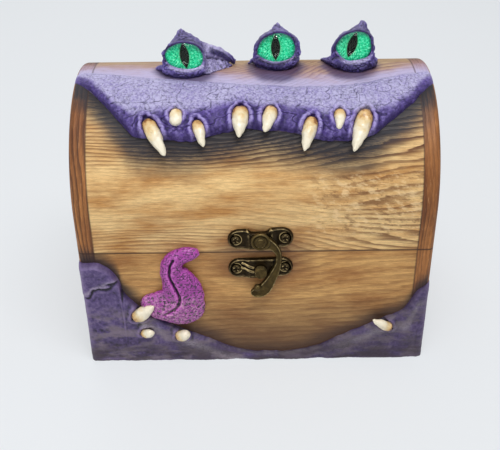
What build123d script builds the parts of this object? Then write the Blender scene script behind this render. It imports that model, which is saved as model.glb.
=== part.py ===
from build123d import *
import math
import os

# A small arched wooden chest with a modelled monster face: a clay upper lip with teeth and
# three glass eyes on the lid, a clay lower lip with teeth and a tongue on the base, and a
# swing hook latch. Millimetres. The origin is the middle of the underside, +Z is up and the
# face looks along -Y.

os.makedirs("parts", exist_ok=True)

# Wooden chest
CHEST_WIDTH = 150.0
CHEST_DEPTH = 92.0
BASE_HEIGHT = 58.0
LID_WALL_HEIGHT = 17.0
END_BOARD = 7.0
WALL_BOARD = 7.0
FLOOR_PANEL = 3.0
LID_SKIN = 3.0
LID_RAIL_HEIGHT = 14.0
EDGE_ROUND = 2.5

# Swing latch
LATCH_X = 2.0
LATCH_RISE = 7.2
LATCH_PITCH = 14.7
PLATE_WIDTH = 27.4
PLATE_HEIGHT = 9.6
PLATE_SHEET = 1.0
UPPER_PLATE_TILT = 2.6
LOWER_PLATE_TILT = 1.6
PRESSING_WIDTH = 11.0
PRESSING_RISE = 1.0
HOOK_THICKNESS = 2.0
HOOK_EYE_RADIUS = 4.1
HOOK_BALL_RADIUS = 1.7
HOOK_PLAY = 0.2
RIVET_RADIUS = 1.3
RIVET_HEAD_RADIUS = 2.1
RIVET_HEAD = 0.8
STUD_RADIUS = 2.5
STUD_HEAD = 0.6
STUD_DROP = 0.8
RUNNING_FIT = 0.05

# Wood screws of the latch and hinges
SCREW_HEAD_RADIUS = 1.8
SCREW_HEAD = 0.8
SCREW_SHANK_RADIUS = 0.8
SCREW_LENGTH = 5.5
SCREW_FIT = 0.03
SCREW_INSET = 3.4
CROSS_LENGTH = 2.2
CROSS_WIDTH = 0.5
CROSS_DEPTH = 0.5

# Stop hinges
HINGE_INSET = 31.0
LEAF_WIDTH = 20.0
LEAF_HEIGHT = 12.0
LEAF_SHEET = 0.8
BARREL_RADIUS = 1.7
HINGE_PIN_RADIUS = 0.8
HINGE_STANDOFF = 0.1
KNUCKLE_GAP = 0.15
LEAF_CLEARANCE = 0.3
STOP_ANGLE = 100.0
STOP_LENGTH = 3.2
STOP_THICKNESS = 1.0
STOP_PLAY = 0.2

# Clay lips
UPPER_LIP_FEATHER = 0.5
UPPER_LIP_NOSE = 2.6
LOWER_LIP_THICKNESS = 2.0
LOWER_LIP_ROUND = 1.3
GUM_SWELL = 1.35

# Teeth
TOOTH_BOW = 0.5
UPPER_TOOTH_ROOT_LIFT = 2.4
UPPER_TOOTH_TIP_LIFT = 4.6
LOWER_TOOTH_ROOT_LIFT = 1.8
LOWER_TOOTH_TIP_LIFT = 4.6

# Tongue
TONGUE_SPAN = 40.0
TONGUE_X_SHARE = -0.48
TONGUE_Z_SHARE = 0.707
TONGUE_THICKNESS = 5.6
TONGUE_ROUND_SHARE = 0.032
TONGUE_LID_GAP = 0.8
TONGUE_GROOVE_WIDTH = 0.9
TONGUE_GROOVE_DEPTH = 1.2

# Eyes
EYE_LENS_RADIUS = 7.6
EYE_LENS_RISE = 4.2
EYE_DISC = 0.5
EYE_DISC_MARGIN = 0.3
EYE_TILT = 14.0
EYELID_OPENING_WIDTH = 14.8
EYELID_OPENING_HEIGHT = 10.4
EYELID_RADIUS = 2.3
EYELID_FORWARD = 4.3
EYELID_BACK = 1.0
SOCKET_WIDTH = 21.0
SOCKET_DEPTH = 14.0
FOLD_RADIUS = 3.0

# Places that follow from the sizes above
HALF_WIDTH = CHEST_WIDTH / 2
FRONT_Y = -CHEST_DEPTH / 2
REAR_Y = CHEST_DEPTH / 2
ARCH_RADIUS = CHEST_DEPTH / 2
SPRING_Z = BASE_HEIGHT + LID_WALL_HEIGHT
LID_TOP = SPRING_Z + ARCH_RADIUS
INNER_WIDTH = CHEST_WIDTH - 2 * END_BOARD
BARREL_LIFT = HINGE_STANDOFF + BARREL_RADIUS
HOOK_BACK = PLATE_SHEET + PRESSING_RISE + HOOK_PLAY
HOOK_FRONT = HOOK_BACK + HOOK_THICKNESS
FRONT = Plane(origin=(0, FRONT_Y, 0), x_dir=(1, 0, 0), z_dir=(0, -1, 0))
REAR = Plane(origin=(0, REAR_Y, 0), x_dir=(-1, 0, 0), z_dir=(0, 1, 0))

# The upper lip, station by station: share of the half width, angle up the arch of its lower
# and upper edges in degrees, thickness of its ridge in mm.
UPPER_LIP = (
    (-1.00, 78.0, 88.0, 1.4),
    (-0.93, 72.5, 87.0, 2.2),
    (-0.83, 62.3, 86.0, 3.0),
    (-0.73, 51.3, 84.0, 3.4),
    (-0.63, 42.3, 82.0, 4.2),
    (-0.50, 41.0, 79.0, 4.4),
    (-0.35, 40.3, 76.0, 4.2),
    (-0.20, 43.8, 74.0, 3.8),
    (-0.05, 46.2, 73.0, 3.8),
    (0.09, 45.0, 72.0, 3.8),
    (0.24, 42.9, 71.0, 4.0),
    (0.38, 39.4, 71.0, 4.4),
    (0.52, 39.3, 73.0, 4.4),
    (0.63, 41.5, 76.0, 4.2),
    (0.73, 49.5, 79.0, 3.4),
    (0.84, 58.0, 82.0, 3.0),
    (0.94, 68.0, 84.0, 2.2),
    (1.00, 74.0, 85.0, 1.4),
)

# Upper teeth: share of the half width and arch angle of the root, the same of the tip, radius.
UPPER_TEETH = (
    (-0.580, 50.5, -0.475, 32.6, 3.1),
    (-0.420, 55.0, -0.415, 46.5, 2.6),
    (-0.310, 49.5, -0.270, 36.5, 2.4),
    (-0.070, 56.5, -0.083, 40.4, 3.4),
    (0.097, 56.0, 0.056, 43.0, 3.0),
    (0.312, 50.5, 0.262, 34.0, 2.9),
    (0.458, 54.0, 0.448, 44.0, 2.4),
    (0.605, 54.0, 0.522, 33.3, 3.5),
)

# Lower lip: share of the half width and of the base height along its upper edge.
LOWER_LIP_CORNER = (-0.787, 0.774)
LOWER_LIP_LEFT = ((-1.0, 0.925), (-0.9, 0.922), (-0.836, 0.867), LOWER_LIP_CORNER)
LOWER_LIP_EDGE = (
    LOWER_LIP_CORNER,
    (-0.772, 0.664),
    (-0.731, 0.588),
    (-0.677, 0.510),
    (-0.539, 0.371),
    (-0.424, 0.290),
    (-0.308, 0.217),
    (-0.191, 0.134),
    (-0.040, 0.069),
    (0.141, 0.055),
    (0.323, 0.091),
    (0.528, 0.229),
    (0.701, 0.345),
    (0.859, 0.459),
    (0.935, 0.628),
    (1.0, 0.700),
)

# Lower teeth: shares of the half width and base height of the root and of the tip, radius.
LOWER_TEETH = (
    (-0.715, 0.425, -0.590, 0.570, 3.1),
    (-0.680, 0.280, -0.603, 0.318, 1.9),
    (-0.468, 0.236, -0.396, 0.314, 2.5),
    (0.795, 0.302, 0.683, 0.412, 2.3),
)

# Tongue outline and groove, from the tongue's middle in shares of its span. It stands on the
# base and its tip passes the seam.
TONGUE_OUTLINE = (
    (0.338, 0.442),
    (0.296, 0.498),
    (0.188, 0.518),
    (0.075, 0.492),
    (-0.022, 0.425),
    (-0.090, 0.331),
    (-0.122, 0.222),
    (-0.131, 0.106),
    (-0.172, 0.007),
    (-0.270, -0.068),
    (-0.338, -0.155),
    (-0.315, -0.278),
    (-0.159, -0.390),
    (0.009, -0.462),
    (0.159, -0.480),
    (0.276, -0.423),
    (0.338, -0.315),
    (0.353, -0.184),
    (0.332, -0.046),
    (0.272, 0.077),
    (0.188, 0.168),
    (0.150, 0.237),
    (0.188, 0.306),
    (0.266, 0.360),
)
TONGUE_GROOVE = (
    (0.021, 0.360),
    (-0.006, 0.270),
    (-0.006, 0.170),
    (0.030, 0.070),
    (0.069, -0.042),
    (0.058, -0.162),
    (-0.009, -0.241),
    (-0.103, -0.300),
)

# Swing hook outline seen from the front, in mm: the eye end is placed from the rivet and the
# crook and tab from the stud.
HOOK_INNER_FROM_RIVET = ((2.4, -3.7), (4.9, -4.4))
HOOK_ROUND_STUD = (
    (6.2, 7.1),
    (5.9, 4.7),
    (3.9, 1.6),
    (3.1, -1.2),
    (1.3, -5.3),
    (-1.8, -6.2),
    (-4.3, -8.2),
    (-4.0, -11.4),
    (-1.0, -13.6),
    (2.1, -12.1),
    (6.0, -4.2),
    (8.3, 1.2),
    (8.9, 7.6),
)
HOOK_OUTER_FROM_RIVET = ((7.5, -3.9), (5.4, 0.2))
HOOK_EYE_ANGLES = (45.0, 95.0, 145.0, 195.0, 245.0)
HOOK_BALL_FROM_STUD = (-1.2, -8.4)

# Eyes: name, share of the half width, place of the lens plane front to rear, height of the
# lens over the lid's top, height of the socket's peak, sideways lean of the peak.
EYES = (
    ("left", -0.3813, -4.0, 7.8, 17.5, -1.2),
    ("middle", 0.1253, -0.8, 9.6, 18.6, 0.9),
    ("right", 0.552, -0.6, 10.2, 18.6, 4.0),
)
# A fold of clay runs down behind the left socket: from and to, beside the lens and over the lid.
FOLD_FROM = (8.0, 8.0, 6.0)
FOLD_TO = (21.5, 13.0, 0.8)

# Profile of a socket: share of its peak height, share of its width and depth.
SOCKET_PROFILE = ((-0.2, 1.0), (0.25, 1.0), (0.5, 0.88), (0.72, 0.62), (0.9, 0.28), (1.0, 0.07))

# Taper of a tooth: share of its length, share of its radius.
TOOTH_TAPER = ((0.0, 0.62), (0.14, 0.92), (0.38, 1.0), (0.68, 0.7), (0.92, 0.28), (1.0, 0.12))
GUM_TAPER = ((-0.12, 0.6), (0.0, 0.85), (0.22, 1.0), (0.48, 0.86))


def save(shape, name):
    """Write one piece, named for what it is."""
    shape.label = name
    export_step(shape, f"parts/{name}.step")


def arch_point(x, angle, lift):
    """A point off the arch, at an angle up from the front spring line."""
    turn = math.radians(angle)
    reach = ARCH_RADIUS + lift
    return Vector(x, -reach * math.cos(turn), SPRING_Z + reach * math.sin(turn))


def front_point(x, z, lift):
    """A point off the front face."""
    return Vector(x, FRONT_Y - lift, z)


def section_face(points_before, arch, points_after):
    """A closed face from a polyline, an arch and a second polyline."""
    edges = [Line(a, b) for a, b in zip(points_before, points_before[1:])]
    edges.append(arch)
    edges += [Line(a, b) for a, b in zip(points_after, points_after[1:])]
    return make_face(edges)


def lid_section(radius):
    """Straight walls and a half round arch, seen along X."""
    left = (-radius, BASE_HEIGHT)
    right = (radius, BASE_HEIGHT)
    spring_left = (-radius, SPRING_Z)
    spring_right = (radius, SPRING_Z)
    arch = ThreePointArc(spring_left, (0, SPRING_Z + radius), spring_right)
    return section_face([right, left, spring_left], arch, [spring_right, right])


def outer_edges(board, outer_x, floor_z):
    """Edges of an end board's outer face, without the one along its foot or top."""
    near = [e for e in board.edges() if abs(e.center().X - outer_x) < 0.01]
    return [e for e in near if e.bounding_box().size.Z > 0.01 and e.center().Z > floor_z]


# ---- wood --------------------------------------------------------------------------------

def base_end(side):
    """End board of the base, rounded on its outer upright edges."""
    centre_x = side * (HALF_WIDTH - END_BOARD / 2)
    board = Pos(centre_x, 0, BASE_HEIGHT / 2) * Box(END_BOARD, CHEST_DEPTH, BASE_HEIGHT)
    return fillet(outer_edges(board, side * HALF_WIDTH, 0), EDGE_ROUND)


def lid_end(side):
    """Arched end board of the lid, rounded on its outer edge."""
    board = extrude(Plane.YZ * lid_section(ARCH_RADIUS), END_BOARD / 2, both=True)
    board = Pos(side * (HALF_WIDTH - END_BOARD / 2), 0, 0) * board
    return fillet(outer_edges(board, side * HALF_WIDTH, BASE_HEIGHT), EDGE_ROUND)


def wall(side):
    """Front (-1) or rear (+1) board of the base."""
    centre_y = side * (REAR_Y - WALL_BOARD / 2)
    return Pos(0, centre_y, BASE_HEIGHT / 2) * Box(INNER_WIDTH, WALL_BOARD, BASE_HEIGHT)


def floor_panel():
    depth = CHEST_DEPTH - 2 * WALL_BOARD
    return Pos(0, 0, FLOOR_PANEL / 2) * Box(INNER_WIDTH, depth, FLOOR_PANEL)


def lid_skin():
    """Bent thin board between the lid's end boards."""
    sheet = lid_section(ARCH_RADIUS) - lid_section(ARCH_RADIUS - LID_SKIN)
    return extrude(Plane.YZ * sheet, INNER_WIDTH / 2, both=True)


def lid_rail(side):
    """Strip inside the lid's wall that takes the latch or hinge screws."""
    thickness = WALL_BOARD - LID_SKIN
    centre_y = side * (REAR_Y - LID_SKIN - thickness / 2)
    centre_z = BASE_HEIGHT + LID_RAIL_HEIGHT / 2
    return Pos(0, centre_y, centre_z) * Box(INNER_WIDTH, thickness, LID_RAIL_HEIGHT)


def base_block():
    """The base as one block, to cut what lies on it."""
    return base_end(-1) + base_end(1) + Pos(0, 0, BASE_HEIGHT / 2) * Box(
        INNER_WIDTH, CHEST_DEPTH, BASE_HEIGHT
    )


def lid_block():
    """The lid as one block, to cut what lies on it."""
    middle = extrude(Plane.YZ * lid_section(ARCH_RADIUS), INNER_WIDTH / 2, both=True)
    return lid_end(-1) + middle + lid_end(1)


# ---- screws ------------------------------------------------------------------------------

def screw(plane):
    """Cross head screw whose head sits on the plane and whose shank goes behind it."""
    head = Cylinder(SCREW_HEAD_RADIUS, SCREW_HEAD, align=(Align.CENTER, Align.CENTER, Align.MIN))
    head = fillet(head.edges().group_by(Axis.Z)[-1], SCREW_HEAD / 2)
    shank = Cylinder(
        SCREW_SHANK_RADIUS, SCREW_LENGTH, align=(Align.CENTER, Align.CENTER, Align.MAX)
    )
    slot = Pos(0, 0, SCREW_HEAD) * Box(CROSS_LENGTH, CROSS_WIDTH, 2 * CROSS_DEPTH)
    cross = Pos(0, 0, SCREW_HEAD) * Box(CROSS_WIDTH, CROSS_LENGTH, 2 * CROSS_DEPTH)
    return plane * (head + shank - slot - cross)


def pilot(plane):
    """Hole for a screw's shank."""
    radius = SCREW_SHANK_RADIUS + SCREW_FIT
    return plane * Cylinder(radius, 2 * (SCREW_LENGTH + SCREW_FIT))


# ---- latch -------------------------------------------------------------------------------

UPPER_PLATE = FRONT * Pos(LATCH_X, BASE_HEIGHT + LATCH_RISE, 0) * Rot(0, 0, UPPER_PLATE_TILT)
LOWER_PLATE = (
    FRONT * Pos(LATCH_X, BASE_HEIGHT + LATCH_RISE - LATCH_PITCH, 0) * Rot(0, 0, LOWER_PLATE_TILT)
)
STUD_SEAT = LOWER_PLATE * Pos(0, -STUD_DROP, 0)
SCREW_X = PLATE_WIDTH / 2 - SCREW_INSET


def plate_screw_seats(frame):
    """Planes on a latch plate where its two screw heads sit."""
    return [frame * Pos(side * SCREW_X, 0, PLATE_SHEET) for side in (-1, 1)]


def latch_plate(frame, hole_radius, hole_drop):
    """Round ended plate with a pressed-up middle, hollow behind, and its holes."""
    plate = extrude(SlotOverall(PLATE_WIDTH, PLATE_HEIGHT), PLATE_SHEET)
    foot = Pos(0, 0, PLATE_SHEET) * Rectangle(PRESSING_WIDTH, PLATE_HEIGHT)
    crown_width = PRESSING_WIDTH - 2 * PRESSING_RISE
    crown = Pos(0, 0, PLATE_SHEET + PRESSING_RISE) * Rectangle(crown_width, PLATE_HEIGHT)
    plate += loft([foot, crown])
    hollow = Rectangle(crown_width - PLATE_SHEET, PLATE_HEIGHT - 2 * PLATE_SHEET)
    plate -= extrude(hollow, PRESSING_RISE)
    through = 4 * (PLATE_SHEET + PRESSING_RISE)
    plate -= Pos(0, -hole_drop, 0) * Cylinder(hole_radius, through)
    for side in (-1, 1):
        plate -= Pos(side * SCREW_X, 0, 0) * Cylinder(SCREW_SHANK_RADIUS + SCREW_FIT, through)
    return frame * plate


def stack(*rings):
    """Turned piece built up along Z from (foot, radius, height) rings."""
    low = (Align.CENTER, Align.CENTER, Align.MIN)
    body = None
    for foot, radius, height in rings:
        ring = Pos(0, 0, foot) * Cylinder(radius, height, align=low)
        body = ring if body is None else body + ring
    return body


def latch_rivet():
    """Rivet that carries the hook, its tail spread in the hollow of the upper plate."""
    tail_foot = PRESSING_RISE / 4
    head_foot = HOOK_FRONT + HOOK_PLAY
    rivet = stack(
        (tail_foot, RIVET_HEAD_RADIUS, PRESSING_RISE - tail_foot),
        (PRESSING_RISE, RIVET_RADIUS, head_foot - PRESSING_RISE),
        (head_foot, RIVET_HEAD_RADIUS, RIVET_HEAD),
    )
    return UPPER_PLATE * fillet(rivet.edges().group_by(Axis.Z)[-1], RIVET_HEAD / 2)


def catch_stud():
    """Collared stud on the lower plate that the hook goes round and under."""
    tail_foot = PRESSING_RISE / 4
    seat = PLATE_SHEET + PRESSING_RISE
    stud = stack(
        (tail_foot, STUD_RADIUS, PRESSING_RISE - tail_foot),
        (PRESSING_RISE, STUD_RADIUS - STUD_HEAD, seat - PRESSING_RISE),
        (seat, STUD_RADIUS, HOOK_FRONT + STUD_HEAD - seat),
    )
    return STUD_SEAT * fillet(stud.edges().group_by(Axis.Z)[-1], STUD_HEAD / 2)


def offsets_from(seat, points):
    """Points in the front plane, given from a seat's origin."""
    return [(seat.position.X + x, seat.position.Z + z) for x, z in points]


def hook_outline():
    """Outline of the hook: down the inside, round the tab, up the outside and round the eye."""
    round_eye = []
    for angle in HOOK_EYE_ANGLES:
        turn = math.radians(angle)
        round_eye.append((HOOK_EYE_RADIUS * math.cos(turn), HOOK_EYE_RADIUS * math.sin(turn)))
    points = offsets_from(UPPER_PLATE, HOOK_INNER_FROM_RIVET)
    points += offsets_from(STUD_SEAT, HOOK_ROUND_STUD)
    points += offsets_from(UPPER_PLATE, HOOK_OUTER_FROM_RIVET)
    points += offsets_from(UPPER_PLATE, round_eye)
    return make_face(Spline(*points, periodic=True))


def latch_hook():
    """Swing hook: dished eye, curved arm and thumb tab with a ball."""
    body = extrude(Pos(0, 0, HOOK_BACK) * hook_outline(), HOOK_THICKNESS)
    body = fillet(body.edges().group_by(Axis.Z)[-1], HOOK_THICKNESS / 4)
    ball_x, ball_z = offsets_from(STUD_SEAT, [HOOK_BALL_FROM_STUD])[0]
    body += Pos(ball_x, ball_z, HOOK_FRONT) * Sphere(HOOK_BALL_RADIUS)
    eye = Pos(UPPER_PLATE.position.X, UPPER_PLATE.position.Z, 0)
    body -= eye * Cylinder(RIVET_RADIUS + RUNNING_FIT, 4 * HOOK_FRONT)
    return FRONT * body


# ---- hinges ------------------------------------------------------------------------------

def hinge_frame(side):
    """Working plane of a hinge on the rear face: X along the barrel, Y up from the seam."""
    return REAR * Pos(-side * (HALF_WIDTH - HINGE_INSET), BASE_HEIGHT, 0)


def hinge_screw_seats(side, direction):
    """Planes on a leaf where its two screw heads sit, below (-1) or above (+1) the seam."""
    height = direction * (LEAF_HEIGHT - SCREW_INSET)
    frame = hinge_frame(side)
    across = LEAF_WIDTH / 2 - SCREW_INSET
    return [frame * Pos(hand * across, height, LEAF_SHEET) for hand in (-1, 1)]


def knuckle(start, end, direction, bore):
    """Barrel length with the tab that joins it to its leaf."""
    barrel = Pos((start + end) / 2, 0, BARREL_LIFT) * Rot(0, 90, 0) * Cylinder(
        BARREL_RADIUS, end - start
    )
    tab_height = BARREL_RADIUS + LEAF_CLEARANCE
    tab = Pos((start + end) / 2, direction * tab_height / 2, LEAF_SHEET / 2) * Box(
        end - start, tab_height, LEAF_SHEET
    )
    hole = Pos(0, 0, BARREL_LIFT) * Rot(0, 90, 0) * Cylinder(bore, 2 * LEAF_WIDTH)
    return barrel + tab - hole


def leaf_plate(direction):
    """Flat of a leaf with its two screw holes."""
    foot = BARREL_RADIUS + LEAF_CLEARANCE
    height = LEAF_HEIGHT - foot
    plate = Pos(0, direction * (foot + height / 2), LEAF_SHEET / 2) * Box(
        LEAF_WIDTH, height, LEAF_SHEET
    )
    for hand in (-1, 1):
        across = hand * (LEAF_WIDTH / 2 - SCREW_INSET)
        plate -= Pos(across, direction * (LEAF_HEIGHT - SCREW_INSET), 0) * Cylinder(
            SCREW_SHANK_RADIUS + SCREW_FIT, 4 * LEAF_SHEET
        )
    return plate


def hinge_base_leaf(side):
    """Lower leaf with the two outer knuckles."""
    inner = LEAF_WIDTH / 6 + KNUCKLE_GAP
    leaf = leaf_plate(-1)
    leaf += knuckle(-LEAF_WIDTH / 2, -inner, -1, HINGE_PIN_RADIUS)
    leaf += knuckle(inner, LEAF_WIDTH / 2, -1, HINGE_PIN_RADIUS)
    return hinge_frame(side) * leaf


def hinge_lid_leaf(side):
    """Upper leaf with the middle knuckle and the lug that stops the lid."""
    half = LEAF_WIDTH / 6
    leaf = leaf_plate(1) + knuckle(-half, half, 1, HINGE_PIN_RADIUS + RUNNING_FIT)
    lug_back = LEAF_SHEET + STOP_PLAY - BARREL_LIFT
    lug = Pos(0, -STOP_LENGTH / 2, lug_back + STOP_THICKNESS / 2) * Box(
        2 * half, STOP_LENGTH, STOP_THICKNESS
    )
    lug -= Rot(0, 90, 0) * Cylinder((BARREL_RADIUS + HINGE_PIN_RADIUS) / 2, 2 * LEAF_WIDTH)
    leaf += Pos(0, 0, BARREL_LIFT) * Rot(-STOP_ANGLE, 0, 0) * lug
    return hinge_frame(side) * leaf


def hinge_pin(side):
    pin = Pos(0, 0, BARREL_LIFT) * Rot(0, 90, 0) * Cylinder(HINGE_PIN_RADIUS, LEAF_WIDTH)
    return hinge_frame(side) * pin


# ---- clay face ---------------------------------------------------------------------------

def tapered(root, tip, radius, taper, bow):
    """Rounded spike along a line from root to tip, bowed sideways by a vector."""
    axis = tip - root
    rings = []
    for share, fullness in taper:
        centre = root + axis * share + bow * math.sin(math.pi * share)
        rings.append(Plane(origin=centre, z_dir=axis) * Circle(radius * fullness))
    return loft(rings)


def upper_tooth_line(tooth):
    """Root, tip and outward bow of an upper tooth."""
    root_share, root_angle, tip_share, tip_angle, radius = tooth
    root = arch_point(root_share * HALF_WIDTH, root_angle, UPPER_TOOTH_ROOT_LIFT)
    tip = arch_point(tip_share * HALF_WIDTH, tip_angle, UPPER_TOOTH_TIP_LIFT)
    middle = (root_angle + tip_angle) / 2
    outward = arch_point(0, middle, TOOTH_BOW) - arch_point(0, middle, 0)
    return root, tip, outward, radius


def lower_tooth_line(tooth):
    """Root, tip and outward bow of a lower tooth."""
    root_share, root_height, tip_share, tip_height, radius = tooth
    root = front_point(
        root_share * HALF_WIDTH, root_height * BASE_HEIGHT, LOWER_TOOTH_ROOT_LIFT
    )
    tip = front_point(tip_share * HALF_WIDTH, tip_height * BASE_HEIGHT, LOWER_TOOTH_TIP_LIFT)
    return root, tip, Vector(0, -TOOTH_BOW, 0), radius


def tooth_solid(line, block):
    """A tooth, flat where it lies on the wood."""
    root, tip, bow, radius = line
    return tapered(root, tip, radius, TOOTH_TAPER, bow) - block


def gum(line):
    """Collar of clay round a tooth's root."""
    root, tip, bow, radius = line
    return tapered(root, tip, radius * GUM_SWELL, GUM_TAPER, bow)


def upper_lip_section(station):
    """The lip cut across at one station: rounded nose below, feather edge above."""
    share, low, high, ridge = station
    x = share * HALF_WIDTH
    span = high - low
    depth = -(EDGE_ROUND + UPPER_LIP_FEATHER)
    foot = arch_point(x, low, depth)
    start = arch_point(x, low, 0.1 * ridge)
    top = arch_point(x, high, UPPER_LIP_FEATHER)
    back = arch_point(x, high, depth)
    surface = Spline(
        start,
        arch_point(x, low + 0.4 * UPPER_LIP_NOSE, 0.78 * ridge),
        arch_point(x, low + UPPER_LIP_NOSE, ridge),
        arch_point(x, low + 0.38 * span, 0.85 * ridge),
        arch_point(x, low + 0.65 * span, 0.4 * ridge + UPPER_LIP_FEATHER),
        top,
    )
    return make_face([Line(foot, start), surface, Line(top, back), Line(back, foot)])


def upper_lip(block, teeth):
    """Clay lip over the front of the lid, with a gum round each tooth."""
    lip = loft([upper_lip_section(station) for station in UPPER_LIP])
    for tooth in UPPER_TEETH:
        lip += gum(upper_tooth_line(tooth))
    lip -= block
    for tooth in teeth:
        lip -= tooth
    return lip


def on_front(points):
    """Shares of the half width and base height as points in the front plane."""
    return [(share * HALF_WIDTH, height * BASE_HEIGHT) for share, height in points]


def lower_lip(block, teeth):
    """Clay lip over the foot of the front board and both end boards."""
    left = on_front(LOWER_LIP_LEFT)
    edge = on_front(LOWER_LIP_EDGE)
    corners = (HALF_WIDTH, 0), (-HALF_WIDTH, 0)
    outline = make_face(
        [
            Spline(*left),
            Spline(*edge),
            Line(edge[-1], corners[0]),
            Line(corners[0], corners[1]),
            Line(corners[1], left[0]),
        ]
    )
    lip = extrude(Pos(0, 0, -EDGE_ROUND) * outline, EDGE_ROUND + LOWER_LIP_THICKNESS)
    rim = [e for e in lip.edges().group_by(Axis.Z)[-1] if e.center().Y > 0.01]
    lip = FRONT * fillet(rim, LOWER_LIP_ROUND)
    lip -= block
    for tooth in teeth:
        lip -= tooth
    return lip


def from_tongue(points):
    """Shares of the tongue's span from its middle as points in the front plane."""
    middle_x = TONGUE_X_SHARE * HALF_WIDTH
    middle_z = TONGUE_Z_SHARE * BASE_HEIGHT
    return [(middle_x + x * TONGUE_SPAN, middle_z + z * TONGUE_SPAN) for x, z in points]


def tongue(block, lip, teeth):
    """Curled clay tongue standing on the base front, clear of the lid that it passes."""
    outline = make_face(Spline(*from_tongue(TONGUE_OUTLINE), periodic=True))
    body = extrude(outline, TONGUE_THICKNESS)
    body = fillet(body.edges().group_by(Axis.Z)[-1], TONGUE_ROUND_SHARE * TONGUE_SPAN)
    groove = trace(Spline(*from_tongue(TONGUE_GROOVE)), TONGUE_GROOVE_WIDTH)
    body -= Pos(0, 0, TONGUE_THICKNESS - TONGUE_GROOVE_DEPTH) * extrude(
        groove, 2 * TONGUE_GROOVE_DEPTH
    )
    lid_room = Pos(0, BASE_HEIGHT + LID_WALL_HEIGHT / 2, 0) * Box(
        CHEST_WIDTH, LID_WALL_HEIGHT + TONGUE_LID_GAP, 2 * TONGUE_LID_GAP
    )
    body = FRONT * (body - lid_room)
    body -= lip
    for tooth in teeth:
        body -= tooth
    return body


# ---- eyes --------------------------------------------------------------------------------

def eye_frame(eye):
    """Working plane at the back of an eye's lens, Z out of the eye."""
    name, share, y, height, peak, lean = eye
    tilt = math.radians(EYE_TILT)
    origin = (share * HALF_WIDTH, y, LID_TOP + height)
    return Plane(origin=origin, x_dir=(1, 0, 0), z_dir=(0, -math.cos(tilt), math.sin(tilt)))


def eye_lens(eye):
    """Glass cap, flat behind."""
    ball = (EYE_LENS_RADIUS**2 + EYE_LENS_RISE**2) / (2 * EYE_LENS_RISE)
    low = (Align.CENTER, Align.CENTER, Align.MIN)
    front = Cylinder(2 * EYE_LENS_RADIUS, 2 * EYE_LENS_RISE, align=low)
    return eye_frame(eye) * (Pos(0, 0, EYE_LENS_RISE - ball) * Sphere(ball) & front)


def eye_disc(eye):
    """Painted iris behind the lens."""
    high = (Align.CENTER, Align.CENTER, Align.MAX)
    return eye_frame(eye) * Cylinder(EYE_LENS_RADIUS - EYE_DISC_MARGIN, EYE_DISC, align=high)


def eyelids(eye):
    """Rounded rim of clay over the lens's edge, wider than high."""
    half_width = EYELID_OPENING_WIDTH / 2 + 2 * EYELID_RADIUS
    half_height = EYELID_OPENING_HEIGHT / 2 + 2 * EYELID_RADIUS
    rim = extrude(Ellipse(half_width, half_height), EYELID_BACK + EYELID_FORWARD)
    rim = fillet(rim.edges().group_by(Axis.Z)[-1], EYELID_RADIUS)
    return eye_frame(eye) * Pos(0, 0, -EYELID_BACK) * rim


def socket_body(eye):
    """Clay mound that rises to a peak over the eye."""
    name, across, y, height, peak, lean = eye
    rings = []
    for share, fullness in SOCKET_PROFILE:
        depth = SOCKET_DEPTH * fullness
        centre = (
            across * HALF_WIDTH + lean * max(share, 0) ** 2,
            y + SOCKET_DEPTH * (0.34 + 0.1 * share),
            LID_TOP + share * peak,
        )
        ring = Ellipse(SOCKET_WIDTH * fullness / 2, depth / 2)
        rings.append(Pos(*centre) * ring)
    return loft(rings)


def eye_socket(eye, block, lens, disc):
    name, share, y, height, peak, lean = eye
    body = socket_body(eye) + eyelids(eye)
    if name == "left":
        seat = Vector(share * HALF_WIDTH, y, LID_TOP)
        fold = tapered(
            seat + Vector(*FOLD_FROM),
            seat + Vector(*FOLD_TO),
            FOLD_RADIUS,
            TOOTH_TAPER,
            Vector(0, 0, EYELID_RADIUS / 2),
        )
        body += fold
    opening = extrude(
        Ellipse(EYELID_OPENING_WIDTH / 2, EYELID_OPENING_HEIGHT / 2), 2 * EYE_LENS_RADIUS
    )
    return body - eye_frame(eye) * opening - block - lens - disc


# ---- build and write ---------------------------------------------------------------------

def group(solids):
    """Separate solids that share one file."""
    return Compound(children=list(solids))


def pilots(seats):
    return [pilot(seat) for seat in seats]


def drilled(board, seats):
    """A board with the shank holes of the screws that stand in it."""
    for hole in pilots(seats):
        board -= hole
    return board


base_cut = base_block()
lid_cut = lid_block()

upper_latch_seats = plate_screw_seats(UPPER_PLATE)
lower_latch_seats = plate_screw_seats(LOWER_PLATE)
base_hinge_seats = hinge_screw_seats(-1, -1) + hinge_screw_seats(1, -1)
lid_hinge_seats = hinge_screw_seats(-1, 1) + hinge_screw_seats(1, 1)

save(base_end(-1), "base_left_end")
save(base_end(1), "base_right_end")
save(drilled(wall(-1), lower_latch_seats), "base_front_board")
save(drilled(wall(1), base_hinge_seats), "base_rear_board")
save(floor_panel(), "base_floor_panel")

save(lid_end(-1), "lid_left_end")
save(lid_end(1), "lid_right_end")
save(drilled(lid_skin(), upper_latch_seats + lid_hinge_seats), "lid_arched_skin")
save(drilled(lid_rail(-1), upper_latch_seats), "lid_front_rail")
save(drilled(lid_rail(1), lid_hinge_seats), "lid_rear_rail")

save(latch_plate(UPPER_PLATE, RIVET_RADIUS, 0), "latch_upper_plate")
save(latch_rivet(), "latch_rivet")
save(group(screw(seat) for seat in upper_latch_seats), "latch_upper_screws")
save(latch_hook(), "latch_hook")
save(latch_plate(LOWER_PLATE, STUD_RADIUS - STUD_HEAD, STUD_DROP), "latch_lower_plate")
save(catch_stud(), "latch_catch_stud")
save(group(screw(seat) for seat in lower_latch_seats), "latch_lower_screws")

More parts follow.
